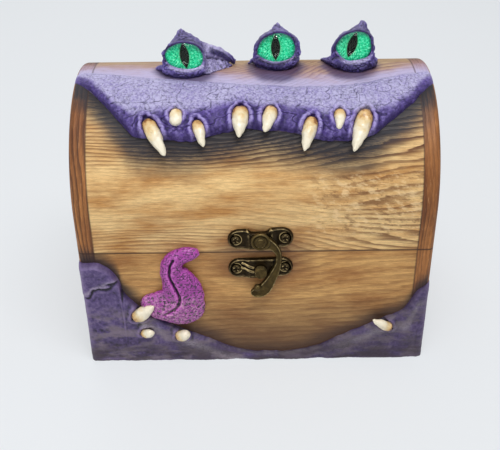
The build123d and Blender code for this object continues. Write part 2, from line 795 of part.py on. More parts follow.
for side, hand in ((-1, "left"), (1, "right")):
    save(hinge_base_leaf(side), f"hinge_{hand}_base_leaf")
    save(hinge_lid_leaf(side), f"hinge_{hand}_lid_leaf")
    save(hinge_pin(side), f"hinge_{hand}_pin")
save(group(screw(seat) for seat in base_hinge_seats), "hinge_base_screws")
save(group(screw(seat) for seat in lid_hinge_seats), "hinge_lid_screws")

upper_teeth = [tooth_solid(upper_tooth_line(tooth), lid_cut) for tooth in UPPER_TEETH]
for number, tooth in enumerate(upper_teeth, 1):
    save(tooth, f"upper_tooth_{number}")
save(upper_lip(lid_cut, upper_teeth), "upper_lip")

lower_teeth = [tooth_solid(lower_tooth_line(tooth), base_cut) for tooth in LOWER_TEETH]
for number, tooth in enumerate(lower_teeth, 1):
    save(tooth, f"lower_tooth_{number}")
lower_lip_solid = lower_lip(base_cut, lower_teeth)
save(lower_lip_solid, "lower_lip")
save(tongue(base_cut, lower_lip_solid, lower_teeth), "tongue")

for eye in EYES:
    lens = eye_lens(eye)
    disc = eye_disc(eye)
    save(lens, f"eye_{eye[0]}_lens")
    save(disc, f"eye_{eye[0]}_iris")
    save(eye_socket(eye, lid_cut, lens, disc), f"eye_{eye[0]}_socket")
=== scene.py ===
import math

import bmesh
import bpy
import numpy as np
from mathutils import Matrix, Vector


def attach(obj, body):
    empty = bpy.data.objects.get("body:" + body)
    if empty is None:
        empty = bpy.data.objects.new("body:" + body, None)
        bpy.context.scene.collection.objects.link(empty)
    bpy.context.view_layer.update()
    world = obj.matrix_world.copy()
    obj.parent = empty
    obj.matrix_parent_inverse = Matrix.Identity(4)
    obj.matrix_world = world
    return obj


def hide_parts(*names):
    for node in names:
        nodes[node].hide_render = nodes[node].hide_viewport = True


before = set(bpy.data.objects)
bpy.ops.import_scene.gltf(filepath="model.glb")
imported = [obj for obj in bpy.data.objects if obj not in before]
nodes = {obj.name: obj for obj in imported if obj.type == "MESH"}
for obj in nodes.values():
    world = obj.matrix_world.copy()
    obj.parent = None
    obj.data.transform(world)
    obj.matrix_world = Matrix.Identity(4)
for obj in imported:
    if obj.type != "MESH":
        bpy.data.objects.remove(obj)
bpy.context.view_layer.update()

# Lengths below are millimetres in the row frame unless a name says otherwise.
MM = 0.001
HALF_WIDTH = 75.0
ARCH = 46.0
SPRING_Z = 75.0
SEAM_Z = 58.0
BOARD_JOINT_X = 68.0
EDGE_ROUND = 2.5

# Upper lip stations: x, angle up the arch of the lower and of the upper edge, ridge height.
UPPER_LIP = (
    (-75.0, 78.0, 88.0, 1.2), (-69.8, 72.5, 88.0, 2.0), (-62.3, 62.3, 87.0, 2.8),
    (-54.8, 51.3, 86.0, 3.3), (-47.3, 42.6, 84.0, 3.9), (-37.5, 41.2, 82.0, 4.1),
    (-26.3, 40.3, 80.0, 4.0), (-15.0, 43.8, 78.0, 3.6), (-3.8, 46.2, 76.0, 3.6),
    (6.8, 45.0, 75.0, 3.6), (18.0, 42.9, 74.0, 3.8), (28.5, 39.6, 74.0, 4.1),
    (39.0, 39.5, 75.0, 4.1), (47.3, 41.9, 77.0, 3.9), (54.8, 49.5, 80.0, 3.3),
    (63.0, 58.0, 83.0, 2.8), (70.5, 68.0, 85.0, 2.0), (75.0, 74.0, 86.0, 1.2),
)

# Upper teeth: root x, root angle, tip x, tip angle, radius.
UPPER_TEETH = (
    (-43.5, 50.5, -35.6, 32.6, 3.1), (-31.5, 55.0, -31.1, 46.5, 2.6),
    (-23.3, 49.5, -20.3, 36.5, 2.4), (-5.3, 56.5, -6.2, 40.4, 3.4),
    (7.3, 56.0, 4.2, 43.0, 3.0), (23.4, 50.5, 19.7, 34.0, 2.9),
    (34.4, 54.0, 33.6, 44.0, 2.4), (45.4, 54.0, 39.2, 33.3, 3.5),
)

# Lower lip: x and z along its upper edge.
LOWER_LIP = (
    (-75.0, 53.6), (-67.5, 53.4), (-63.6, 51.2), (-60.4, 47.5), (-58.6, 43.6),
    (-57.6, 38.6), (-54.8, 34.1), (-50.8, 29.6), (-40.4, 21.5), (-31.8, 16.8),
    (-23.1, 12.6), (-14.3, 7.8), (-3.0, 4.0), (10.6, 3.2), (24.2, 5.3),
    (39.6, 13.3), (52.6, 20.0), (64.4, 26.6), (70.1, 36.4), (75.0, 40.6),
)

# Lower teeth: root x and z, tip x and z, radius.
LOWER_TEETH = (
    (-53.6, 24.6, -44.2, 33.1, 3.1), (-51.0, 16.2, -45.2, 18.4, 1.9),
    (-35.1, 13.7, -29.7, 18.2, 2.5), (59.6, 17.5, 51.2, 23.9, 2.3),
)

# Tongue neck and tip on the front: x, z, half width, height off the wood.
TONGUE = (
    (-32.4, 33.0, 9.4, 5.0), (-31.8, 37.0, 9.5, 5.2), (-31.9, 40.6, 8.9, 5.2),
    (-32.8, 44.0, 7.9, 5.1), (-34.3, 47.2, 6.6, 5.0), (-35.6, 50.2, 5.2, 4.9),
    (-35.5, 53.2, 4.7, 4.9), (-33.9, 56.0, 4.3, 4.9), (-31.0, 57.8, 3.8, 4.8),
    (-27.8, 58.6, 3.2, 4.4), (-25.2, 58.9, 2.4, 3.6), (-23.8, 59.0, 1.4, 2.6),
)

# Tongue belly and root: middle x and z, half width, half height, height off the wood.
TONGUE_LUMPS = (
    (-33.0, 31.4, 10.9, 10.5, 5.2), (-39.2, 31.2, 9.0, 8.2, 4.9), (-43.2, 32.2, 7.2, 5.6, 3.9),
)

# Groove of the tongue: x, z.
TONGUE_GROOVE = (
    (-34.6, 57.0), (-36.2, 53.4), (-36.6, 49.6), (-35.6, 45.4), (-33.7, 41.0),
    (-32.8, 37.2), (-33.6, 33.8), (-36.2, 30.8), (-39.4, 28.6),
)

# Eyes: name, centre of the lens, x of the peak over it, lean of the pupil in degrees.
EYES = (
    ("left", (-28.6, -4.0, 128.8), -29.8, -8.0),
    ("middle", (9.4, -0.8, 130.6), 10.3, 0.0),
    ("right", (41.4, -0.6, 131.2), 45.0, 18.0),
)


# ---- numbers -----------------------------------------------------------------------------

def smoothstep(low, high, value):
    share = np.clip((value - low) / (high - low), 0.0, 1.0)
    return share * share * (3.0 - 2.0 * share)


def bell(value, middle, width):
    """Rounded bump of height 1 at the middle value."""
    return np.exp(-(((value - middle) / width) ** 2))


def rounded(share):
    """Quarter circle: rises steeply from 0 and levels out at 1."""
    return np.sqrt(1.0 - (1.0 - np.clip(share, 0, 1)) ** 2)


def smooth_curve(x, knots_x, knots_y):
    """Smooth curve through knots: cubic with limited slopes."""
    kx = np.asarray(knots_x, float)
    ky = np.asarray(knots_y, float)
    step = np.diff(kx)
    slope = np.diff(ky) / step
    tangent = np.zeros_like(ky)
    tangent[0], tangent[-1] = slope[0], slope[-1]
    same = slope[:-1] * slope[1:] > 0
    mean = 2 * slope[:-1] * slope[1:] / np.where(same, slope[:-1] + slope[1:], 1.0)
    tangent[1:-1] = np.where(same, mean, 0.0)
    cell = np.clip(np.searchsorted(kx, x) - 1, 0, len(step) - 1)
    t = np.clip((x - kx[cell]) / step[cell], 0.0, 1.0)
    stay = 2 * t**3 - 3 * t**2 + 1
    rise = 3 * t**2 - 2 * t**3
    leave = (t**3 - 2 * t**2 + t) * step[cell] * tangent[cell]
    arrive = (t**3 - t**2) * step[cell] * tangent[cell + 1]
    return stay * ky[cell] + leave + rise * ky[cell + 1] + arrive


def dense_line(points, count):
    """Smooth open line through points, evenly sampled along its chords."""
    table = np.asarray(points, float)
    chords = np.linalg.norm(np.diff(table[:, :2], axis=0), axis=1)
    reached = np.concatenate([[0.0], np.cumsum(chords)])
    places = np.linspace(0.0, reached[-1], count)
    return np.stack([smooth_curve(places, reached, column) for column in table.T], -1)


def value_noise(points, seed):
    """Smooth noise in -1..1 at an array of 3-D points."""
    base = np.floor(points).astype(np.int64)
    part = points - base
    part = part * part * (3.0 - 2.0 * part)
    total = np.zeros(len(points))
    for corner in range(8):
        offset = np.array([(corner >> axis) & 1 for axis in range(3)])
        cell = base + offset
        key = cell[:, 0] * 73856093 ^ cell[:, 1] * 19349663 ^ cell[:, 2] * 83492791
        key = (key ^ (seed * 2654435761)) & 0xFFFFFFFF
        key = ((key ^ (key >> 13)) * 1274126177) & 0xFFFFFFFF
        key = ((key ^ (key >> 16)) * 2246822519) & 0xFFFFFFFF
        key = key ^ (key >> 15)
        weight = np.prod(np.where(offset == 1, part, 1.0 - part), axis=1)
        total += weight * (key / 0xFFFFFFFF * 2.0 - 1.0)
    return total


def fractal(points, size, seed, octaves=3):
    """Sum of noises, the coarsest with features of the given size in mm."""
    return sum(
        0.5**octave * value_noise(points * (2.0**octave / size), seed + octave)
        for octave in range(octaves)
    )


def wrinkles(points, size, seed):
    """Thin creases: 1 on a crease, 0 away from it."""
    return smoothstep(0.86, 1.0, 1.0 - np.abs(fractal(points, size, seed, 2)))


# ---- meshes ------------------------------------------------------------------------------

def add_object(name, mesh, material):
    """Smooth-shaded object of a mesh, at the origin."""
    obj = bpy.data.objects.new(name, mesh)
    bpy.context.scene.collection.objects.link(obj)
    mesh.polygons.foreach_set("use_smooth", [True] * len(mesh.polygons))
    mesh.materials.clear()
    mesh.materials.append(material)
    return obj


def new_object(name, form, material):
    """Object of a form, which is its points in mm and its faces."""
    verts, faces = form
    mesh = bpy.data.meshes.new(name)
    mesh.from_pydata([tuple(v) for v in np.asarray(verts) * MM], [], faces)
    mesh.update()
    work = bmesh.new()
    work.from_mesh(mesh)
    bmesh.ops.recalc_face_normals(work, faces=work.faces)
    work.to_mesh(mesh)
    work.free()
    return add_object(name, mesh, material)


def paint(obj, **layers):
    """Point attributes that the materials read."""
    for name, values in layers.items():
        layer = obj.data.attributes.new(name, "FLOAT", "POINT")
        layer.data.foreach_set("value", np.asarray(values, dtype=np.float32))


def slab(top, bottom):
    """Closed form between two grids of points, each (rows, columns, 3)."""
    rows, cols = top.shape[:2]
    shift = rows * cols
    index = np.arange(shift).reshape(rows, cols)
    a, b = index[:-1, :-1].ravel(), index[1:, :-1].ravel()
    c, d = index[1:, 1:].ravel(), index[:-1, 1:].ravel()
    ring = np.concatenate([index[0, :-1], index[:-1, -1], index[-1, :0:-1], index[:0:-1, 0]])
    after = np.roll(ring, -1)
    quads = ((a, b, c, d), (d + shift, c + shift, b + shift, a + shift),
             (ring, after, after + shift, ring + shift))
    faces = [face for quad in quads for face in np.stack(quad, 1).tolist()]
    return np.concatenate([top.reshape(-1, 3), bottom.reshape(-1, 3)]), faces


def band_faces(rows, sides, first=0):
    """Quads between rings of points, from the ring that starts at the first point."""
    faces = []
    for low in range(first, first + (rows - 1) * sides, sides):
        for col in range(sides):
            after = (col + 1) % sides
            faces.append((low + col, low + after, low + sides + after, low + sides + col))
    return faces


def tube(path, wide, high, up, sides=24):
    """Closed swept form: elliptical rings along a path; up is each ring's height direction."""
    path = np.asarray(path, float)
    count = len(path)
    tangent = np.gradient(path, axis=0)
    tangent /= np.linalg.norm(tangent, axis=1)[:, None]
    up = np.broadcast_to(np.asarray(up, float), (count, 3))
    up = up - (up * tangent).sum(1)[:, None] * tangent
    up /= np.linalg.norm(up, axis=1)[:, None]
    side = np.cross(tangent, up)
    turn = np.linspace(0, 2 * math.pi, sides, endpoint=False)
    across = np.broadcast_to(wide, count)[:, None] * np.cos(turn)
    above = np.broadcast_to(high, count)[:, None] * np.sin(turn)
    rings = path[:, None] + across[..., None] * side[:, None] + above[..., None] * up[:, None]
    faces = band_faces(count, sides)
    faces.append(tuple(range(sides - 1, -1, -1)))
    faces.append(tuple((count - 1) * sides + col for col in range(sides)))
    return rings.reshape(-1, 3), faces


def strut(start, end, first, last, up, sides):
    """Round tube between two points, from one radius to another."""
    girth = np.linspace(first, last, 8)
    return tube(np.linspace(start, end, 8), girth, girth, up, sides)


def capped(top, rings, bottom):
    """Closed form from rings of points with a single point at either end."""
    sides = len(rings[0])
    verts = np.concatenate([[top], *rings, [bottom]])
    faces = band_faces(len(rings), sides, 1)
    low = len(verts) - 1 - sides
    for col in range(sides):
        after = (col + 1) % sides
        faces += [(0, 1 + col, 1 + after), (low + col, len(verts) - 1, low + after)]
    return verts, faces


def blob(centre, radii, rows=16, sides=24):
    """Ellipsoid."""
    centre, radii = np.array(centre), np.array(radii)
    turn = np.linspace(0, 2 * math.pi, sides, endpoint=False)
    flat = np.stack([np.cos(turn), np.sin(turn), np.zeros(sides)], -1)
    pole = np.array([0.0, 0.0, 1.0])
    rings = [
        centre + radii * (math.sin(fall) * flat + math.cos(fall) * pole)
        for fall in np.linspace(0, math.pi, rows + 1)[1:-1]
    ]
    return capped(centre + radii * pole, rings, centre - radii * pole)


def knead(name, forms, voxel, smoothing, material):
    """Join forms into one skin, as clay is pressed together, and smooth the joins."""
    verts, faces, count = [], [], 0
    for points, sides in forms:
        verts.append(points)
        faces += [tuple(i + count for i in face) for face in sides]
        count += len(points)
    rough = new_object(name + "_rough", (np.concatenate(verts), faces), material)
    remesh = rough.modifiers.new("remesh", "REMESH")
    remesh.mode = "VOXEL"
    remesh.voxel_size = voxel * MM
    soften = rough.modifiers.new("soften", "SMOOTH")
    soften.factor = 0.5
    soften.iterations = smoothing
    depsgraph = bpy.context.evaluated_depsgraph_get()
    mesh = bpy.data.meshes.new_from_object(rough.evaluated_get(depsgraph))
    old = rough.data
    bpy.data.objects.remove(rough)
    bpy.data.meshes.remove(old)
    mesh.name = name
    return add_object(name, mesh, material)


def read_points(obj):
    """Points, in mm, and normals of a mesh."""
    read = []
    for field in ("co", "normal"):
        values = np.empty(len(obj.data.vertices) * 3)
        obj.data.vertices.foreach_get(field, values)
        read.append(values.reshape(-1, 3))
    return read[0] / MM, read[1]


def write_points(obj, points):
    obj.data.vertices.foreach_set("co", (points * MM).ravel())
    obj.data.update()


def hollow_depth(obj, rounds, scale):
    """How deep each point lies in a hollow: below 0.5 on ridges, above it in creases."""
    points, normals = read_points(obj)
    edges = np.empty(len(obj.data.edges) * 2, dtype=np.int64)
    obj.data.edges.foreach_get("vertices", edges)
    ends = edges.reshape(-1, 2).T
    total = len(points)
    count = np.maximum(np.bincount(edges, minlength=total).astype(float), 1.0)
    mean = points.copy()
    for _ in range(rounds):
        near = np.stack([
            np.bincount(ends[0], weights=column[ends[1]], minlength=total)
            + np.bincount(ends[1], weights=column[ends[0]], minlength=total)
            for column in mean.T
        ], -1)
        mean = 0.5 * mean + 0.5 * near / count[:, None]
    depth = ((mean - points) * normals).sum(1)
    return np.clip(0.5 + depth / scale, 0.0, 1.0)


# ---- shader graphs -----------------------------------------------------------------------

class Value:
    """A result in a shader graph; sums and products of it add nodes."""

    def __init__(self, graph, socket):
        self.graph = graph
        self.socket = socket

    def __add__(self, other):
        return self.graph.math("ADD", self, other)

    def __sub__(self, other):
        return self.graph.math("SUBTRACT", self, other)

    def __rsub__(self, other):
        return self.graph.math("SUBTRACT", other, self)

    def __mul__(self, other):
        return self.graph.math("MULTIPLY", self, other)

    def __truediv__(self, other):
        return self.graph.math("DIVIDE", self, other)

    def __abs__(self):
        return self.graph.math("ABSOLUTE", self)

    __radd__ = __add__
    __rmul__ = __mul__

    def step(self, low, high, out_low=0.0, out_high=1.0):
        """Smooth step between two values."""
        settings = {"interpolation_type": "SMOOTHSTEP"}
        return self.graph.node("ShaderNodeMapRange", (self, low, high, out_low, out_high), **settings)


class Graph:
    """The nodes of a material or world, written as expressions."""

    def __init__(self, name, family="materials"):
        self.owner = getattr(bpy.data, family).new(name)
        self.owner.use_nodes = True
        self.tree = self.owner.node_tree
        self.tree.nodes.clear()

    def add(self, kind, **settings):
        node = self.tree.nodes.new(kind)
        for key, value in settings.items():
            setattr(node, key, value)
        return node

    def feed(self, socket, value):
        """Link or set a socket; None leaves it as it is."""
        if isinstance(value, Value):
            self.tree.links.new(value.socket, socket)
        elif value is not None:
            if socket.type == "RGBA" and len(value) == 3:
                value = (*value, 1.0)
            socket.default_value = value

    def node(self, kind, values=(), output=0, named=None, **settings):
        """A node's output, with values for its first sockets and for named ones."""
        node = self.add(kind, **settings)
        for socket, value in zip(node.inputs, values):
            self.feed(socket, value)
        for key, value in (named or {}).items():
            self.feed(node.inputs[key.replace("_", " ")], value)
        return Value(self, node.outputs[output])

    def math(self, operation, *values):
        return self.node("ShaderNodeMath", values, operation=operation)

    def most(self, a, b):
        return self.math("MAXIMUM", a, b)

    def far(self, a, b):
        """Length of a vector's two parts."""
        return self.math("SQRT", a * a + b * b)

    def mix(self, share, a, b):
        """Colour a share of the way from one to the other."""
        node = self.add("ShaderNodeMix", data_type="RGBA")
        for number, value in ((0, share), (6, a), (7, b)):
            self.feed(node.inputs[number], value)
        return Value(self, node.outputs[2])

    def vector(self, *parts):
        return self.node("ShaderNodeCombineXYZ", parts)

    def place(self):
        """Object coordinates in mm: the vector and its three parts."""
        coords = self.node("ShaderNodeTexCoord", output="Object")
        scaled = self.node("ShaderNodeVectorMath", (coords,), named={"Scale": 1.0 / MM}, operation="SCALE")
        split = self.add("ShaderNodeSeparateXYZ")
        self.feed(split.inputs[0], scaled)
        return scaled, *(Value(self, part) for part in split.outputs)

    def noise(self, vector, scale, detail, rough):
        settings = {"Vector": vector, "Scale": scale, "Detail": detail, "Roughness": rough}
        return self.node("ShaderNodeTexNoise", named=settings)

    def drawn(self, x, y, z, detail, rough):
        """Noise drawn out by how much each direction is scaled."""
        return self.noise(self.vector(x, y, z), 1.0, detail, rough)

    def cells(self, vector, scale, feature="F1"):
        settings = {"Vector": vector, "Scale": scale}
        return self.node("ShaderNodeTexVoronoi", named=settings, feature=feature)

    def ramp(self, value, *stops):
        """Colours by value: (place, colour) pairs."""
        node = self.add("ShaderNodeValToRGB")
        items = node.color_ramp.elements
        while len(items) < len(stops):
            items.new(0.5)
        for item, (place, colour) in zip(items, stops):
            item.position = place
            item.color = (*colour, 1.0)
        self.feed(node.inputs[0], value)
        return Value(self, node.outputs[0])

    def profile(self, x, points, low, high):
        """Height at x of a smooth line through points, all between two heights."""
        node = self.add("ShaderNodeFloatCurve")
        line = node.mapping.curves[0]
        spots = [((at + HALF_WIDTH) / (2 * HALF_WIDTH), (height - low) / (high - low))
                 for at, height in points]
        line.points[0].location = spots[0]
        line.points[1].location = spots[-1]
        for spot in spots[1:-1]:
            line.points.new(*spot)
        node.mapping.update()
        self.feed(node.inputs["Value"], (x + HALF_WIDTH) / (2 * HALF_WIDTH))
        return Value(self, node.outputs[0]) * (high - low) + low

    def layer(self, name):
        """A painted point attribute."""
        return self.node("ShaderNodeAttribute", output="Fac", attribute_name=name)

    def bump(self, height, distance, strength):
        settings = {"Strength": strength, "Distance": distance * MM, "Height": height}
        return self.node("ShaderNodeBump", named=settings)

    def ray(self, kind):
        return self.node("ShaderNodeLightPath", output=f"Is {kind} Ray")

    def close(self, shader, kind="ShaderNodeOutputMaterial"):
        """Shader to the output; what the graph belongs to comes back."""
        self.feed(self.add(kind).inputs["Surface"], shader)
        return self.owner

    def finish(self, colour, roughness, normal=None, **named):
        """Principled shader to the output; further sockets go by their names."""
        named |= {"Base_Color": colour, "Roughness": roughness, "Normal": normal}
        return self.close(self.node("ShaderNodeBsdfPrincipled", named=named))


def srgb(*parts):
    """0..255 display colour as a linear one."""
    shares = (part / 255.0 for part in parts)
    return tuple(s / 12.92 if s <= 0.04045 else ((s + 0.055) / 1.055) ** 2.4 for s in shares)


# ---- wood --------------------------------------------------------------------------------

# Woods: ring width, strength of the rings and of the streaks, pale, middle and dark tone.
WOODS = {
    "lid": (1.75, 0.95, 0.2, srgb(238, 200, 138), srgb(194, 140, 76), srgb(92, 50, 22)),
    "base": (3.2, 0.4, 0.3, srgb(216, 168, 102), srgb(170, 118, 62), srgb(92, 52, 24)),
    "end": (1.6, 0.75, 0.3, srgb(172, 112, 58), srgb(130, 76, 34), srgb(60, 28, 10)),
}


def unrolled(g, y, z):
    """Distance up the front and over the arch, and depth under the outer surface, in mm."""
    over = z - SPRING_Z
    on_arch = g.math("GREATER_THAN", over, 0.0)
    below = 1.0 - on_arch
    rolled = g.math("ARCTAN2", over, y * -1.0) * ARCH + SPRING_Z
    climb = rolled * on_arch + z * below
    return climb, ARCH - (g.far(y, over) * on_arch + abs(y) * below)


def lip_edge(g, x, column):
    """Edge of the upper lip across x, in mm up the front."""
    points = [(row[0], SPRING_Z + ARCH * math.radians(row[column])) for row in UPPER_LIP]
    return g.profile(x, points, 70.0, 160.0)


def wood_material(name, grain, painted):
    """Stained pine. grain is lid, base or end; painted adds the washes round the clay."""
    ring_width, ring_strength, streak_strength, pale, mid, dark = WOODS[grain]
    g = Graph(name)
    _, x, y, z = g.place()
    climb, depth = unrolled(g, y, z)
    along, across = x, climb
    if grain == "end":
        # Upright grain: along the edge in front, and from front to rear on the flat face.
        edge = depth.step(2.7, 2.3)
        along = climb * edge + z * (1.0 - edge)
        across = x * edge + y * (1.0 - edge)
    wander = g.drawn(along * 0.010, across * 0.035, depth * 0.02, 2.0, 0.5) - 0.5
    if grain == "lid":
        # The grain opens out to the right round a pale heart.
        field = (across - 87.0) / (x.step(-15.0, 78.0) * 1.1 + 1.0) + wander * 16.0
    elif grain == "base":
        field = across - x * 0.10 + wander * 22.0
    else:
        field = across + wander * 12.0
    jitter = g.drawn(along * 0.05, across * 0.5, depth * 0.3, 2.0, 0.6) - 0.5
    rings = g.math("FRACT", field / ring_width + jitter * 0.9)
    late = rings.step(0.3, 0.9) * rings.step(1.0, 0.93)
    patch = g.drawn(along * 0.02, across * 0.06, 4.0, 2.0, 0.5).step(0.36, 0.64)
    if grain == "lid":
        # Strong lines high on the lid and at the right, soft ones in the middle.
        upper = across.step(92.0, 101.0) * x.step(-58.0, -5.0, 0.55, 1.0)
        bold = g.most(upper, x.step(20.0, 52.0) * 0.75)
        bold = g.most(bold, across.step(74.0, 66.0) * 0.45)
        # Plainer wood at the rear and inside.
        shown = across.step(165.0, 130.0) * depth.step(2.0, 1.0)
        amount = (bold * (shown * 0.7 + 0.3) * 0.85 + patch * 0.22) * ring_strength
    else:
        amount = (patch * 0.7 + 0.3) * ring_strength
    fibre = g.drawn(along * 0.24, across * 3.0, depth * 1.5, 4.0, 0.75)
    streaks = g.drawn(along * 0.035, across * 0.75, 6.0, 3.0, 0.6)
    blotch = g.drawn(along * 0.03, across * 0.10, 9.0, 3.0, 0.6)
    tone = g.ramp(blotch, (0.34, mid), (0.6, pale))
    tone = g.mix(streaks.step(0.58, 0.36) * streak_strength, tone, dark)
    tone = g.mix(late * amount, tone, dark)
    if grain == "lid":
        # Quilted pale figure low on the right.
        quilt = g.drawn(x * 0.20 + across * 0.13, across * 0.30, 7.0, 3.0, 0.7)
        zone = x.step(12.0, 34.0) * across.step(98.0, 90.0) * across.step(62.0, 70.0)
        tone = g.mix(quilt.step(0.5, 0.62) * zone * 0.6, tone, srgb(240, 208, 156))
        tone = g.mix(quilt.step(0.46, 0.36) * zone * 0.5, tone, dark)
    tone = g.mix((1.0 - fibre.step(0.36, 0.62)) * 0.34, tone, dark)
    tone = g.mix(fibre.step(0.56, 0.74) * 0.22, tone, srgb(246, 218, 166))
    if painted:
        tone = wood_paint(g, tone, grain, (x, y, z), climb, depth, late, fibre)
    # Open grain: brushed-out lines between the hard rings, and fine fibres.
    relief = late * amount * 1.2 + fibre * 0.35
    return g.finish(tone, late * 0.08 + 0.5, g.bump(relief, 0.22, 0.8), Specular_IOR_Level=0.35)


def wood_paint(g, tone, grain, place, climb, depth, late, fibre):
    """Washes of stain and paint round the clay, painted shade under the lips and round the eyes, joint
    lines and a darker foot.
    """
    x, y, z = place
    outer = depth.step(0.8, 0.3)
    front = y.step(-6.0, -12.0)
    side = abs(x)
    cloud = g.drawn(x * 0.05, climb * 0.12, 2.0, 3.0, 0.6) - 0.5
    washes = []
    if grain != "base":
        low, high = lip_edge(g, x, 1), lip_edge(g, x, 2)
        below = low - climb + cloud * 9.0
        ragged = climb - high + cloud * 16.0
        # The stain thins out behind the eyes, towards the rear of the lid.
        stained = outer * ragged.step(62.0, 24.0)
        inside = (climb - low).step(0.0, 1.5)
        beneath = stained * (1.0 - inside * 0.75)
        smoke = g.most(late, fibre.step(0.6, 0.4)) * 0.18 + 0.82
        brushed = fibre.step(0.36, 0.58) * 0.38 + 0.62
        bare = side.step(36.0, 60.0) * ragged.step(5.0, 13.0)
        veil = ragged.step(26.0, -2.0) * inside * brushed * stained * (1.0 - bare * 0.75)
        near_clay = ragged.step(9.0, -1.0) * inside * stained * (brushed * 0.6 + 0.4)
        lines = fibre.step(0.42, 0.3) * ragged.step(20.0, 4.0) * inside * stained
        washes += [
            # Below the upper lip the wood is darker: a smoky wash along the grain with painted shade, and
            # right under the lip's edge a near-black painted shadow.
            (below.step(19.0, 5.0) * beneath * smoke, srgb(33, 30, 36)),
            (below.step(7.0, 1.5) * beneath * 0.85, srgb(18, 14, 24)),
            (veil * 0.86, srgb(172, 138, 148)),
            (near_clay, srgb(178, 170, 204)),
            (lines * 0.6, srgb(92, 62, 92)),
        ]
        # Purple-black painted shadow at the foot of each eye.
        for _, (eye_x, eye_y, _), _, _ in EYES:
            ring = g.far((x - eye_x) / 12.0, (y - (eye_y + 3.0)) / 12.5) + cloud * 0.5
            washes.append((ring.step(1.25, 0.85) * stained * inside * 0.8, srgb(58, 42, 82)))
    if grain != "lid":
        above = z - g.profile(x, LOWER_LIP, 0.0, 80.0) + cloud * 8.0
        washes += [
            # Just above the lower lip's edge a dark wash with painted shade, and the front darker towards
            # the foot.
            (above.step(10.0, 0.5) * front * outer * 0.93, srgb(34, 27, 32)),
            (z.step(42.0, 10.0) * front * 0.72, srgb(78, 52, 36)),
        ]
    # Dark stain round the latch, board joints, and the seam between base and lid.
    latch = g.far((x - 2.0) / 24.0, (z - 56.0) / 17.0)
    washes += [
        (latch.step(1.1, 0.5) * front * 0.62, srgb(88, 42, 20)),
        (abs(side - BOARD_JOINT_X).step(0.55, 0.1) * 0.6, srgb(52, 28, 18)),
        (abs(z - SEAM_Z).step(0.6, 0.12) * 0.85, srgb(48, 24, 14)),
    ]
    for share, colour in washes:
        tone = g.mix(share, tone, colour)
    return tone


# ---- clay, metal and glass ---------------------------------------------------------------

def clay_material(name, deep, mid, light, brushed, crackle, darkening=False):
    """Painted polymer clay: dark in the hollows, dry-brushed on the ridges, with painted shade and
    highlight there too.
    """
    g = Graph(name)
    where, x, _, z = g.place()
    broad = g.noise(where, 0.09, 3.0, 0.6) - 0.5
    grit = g.noise(where, 1.1, 4.0, 0.7) - 0.5
    warp = g.vector(grit * 2.6, broad * 6.0, grit * -2.2)
    warped = g.node("ShaderNodeVectorMath", (where, warp), operation="ADD")
    crack = g.cells(warped, 0.36, "DISTANCE_TO_EDGE").step(0.035, 0.0) * crackle
    crack = crack * broad.step(-0.12, 0.06)
    # Darker in the hollows and lighter on the ridges: the clay's wash and dry brushing, with painted shade
    # and painted highlight.
    value = 1.0 - g.layer("hollow") + broad * 0.35 + grit * 0.45 - crack * 0.2
    tone = g.ramp(value, (0.2, deep), (0.48, mid), (0.84, light))
    # The dark layer carries dark paint and painted shade, the pale layer dry brushing and painted
    # highlight.
    tone = g.mix(g.layer("dark") * 0.85, tone, g.mix(value.step(0.4, 1.0), deep, mid))
    brush = (grit + broad * 0.4).step(-0.2, 0.1) * value.step(0.12, 0.4)
    tone = g.mix(g.layer("pale") * (brush * 0.65 + 0.35), tone, brushed)
    tone = g.mix(crack * 0.6, tone, deep)
    if darkening:
        # Grey-brown dry brushing, darker toward the foot and a darker right-hand side.
        smear = g.drawn(x * 0.09, 3.0, z * 0.22, 3.0, 0.6).step(0.42, 0.62) * z.step(36.0, 20.0)
        foot_dark = g.drawn(x * 0.06, 8.0, z * 0.2, 3.0, 0.6).step(0.36, 0.58) * z.step(16.0, 3.0)
        tone = g.mix(smear * 0.62, tone, srgb(126, 112, 118))
        tone = g.mix(foot_dark * 0.75, tone, srgb(50, 36, 40))
        tone = g.mix(x.step(-20.0, 20.0) * 0.4, tone, srgb(40, 28, 44))
    pits = g.cells(where, 0.85).step(0.0, 0.45)
    relief = grit * 0.9 + pits * 0.5 - crack * 0.9
    return g.finish(tone, grit * 0.25 + 0.5, g.bump(relief, 0.3, 0.75), Specular_IOR_Level=0.45)


def tooth_material():
    """Ochre at the root, ivory at the tip, stained in the hollows."""
    g = Graph("tooth_enamel")
    where = g.place()[0]
    cloud = g.noise(where, 0.35, 3.0, 0.6) - 0.5
    grit = g.noise(where, 1.6, 3.0, 0.6) - 0.5
    tone = g.ramp(
        g.layer("along") + cloud * 0.9,
        (0.02, srgb(144, 98, 52)), (0.14, srgb(204, 162, 100)),
        (0.36, srgb(222, 198, 150)), (0.62, srgb(232, 222, 198)),
    )
    tone = g.mix(g.layer("hollow").step(0.5, 0.85) * 0.6, tone, srgb(150, 96, 52))
    tone = g.mix(grit.step(0.12, 0.3, 0.0, 0.3), tone, srgb(170, 116, 66))
    normal = g.bump(grit + cloud, 0.15, 0.5)
    return g.finish(tone, 0.34, normal, Coat_Weight=0.3, Coat_Roughness=0.15)


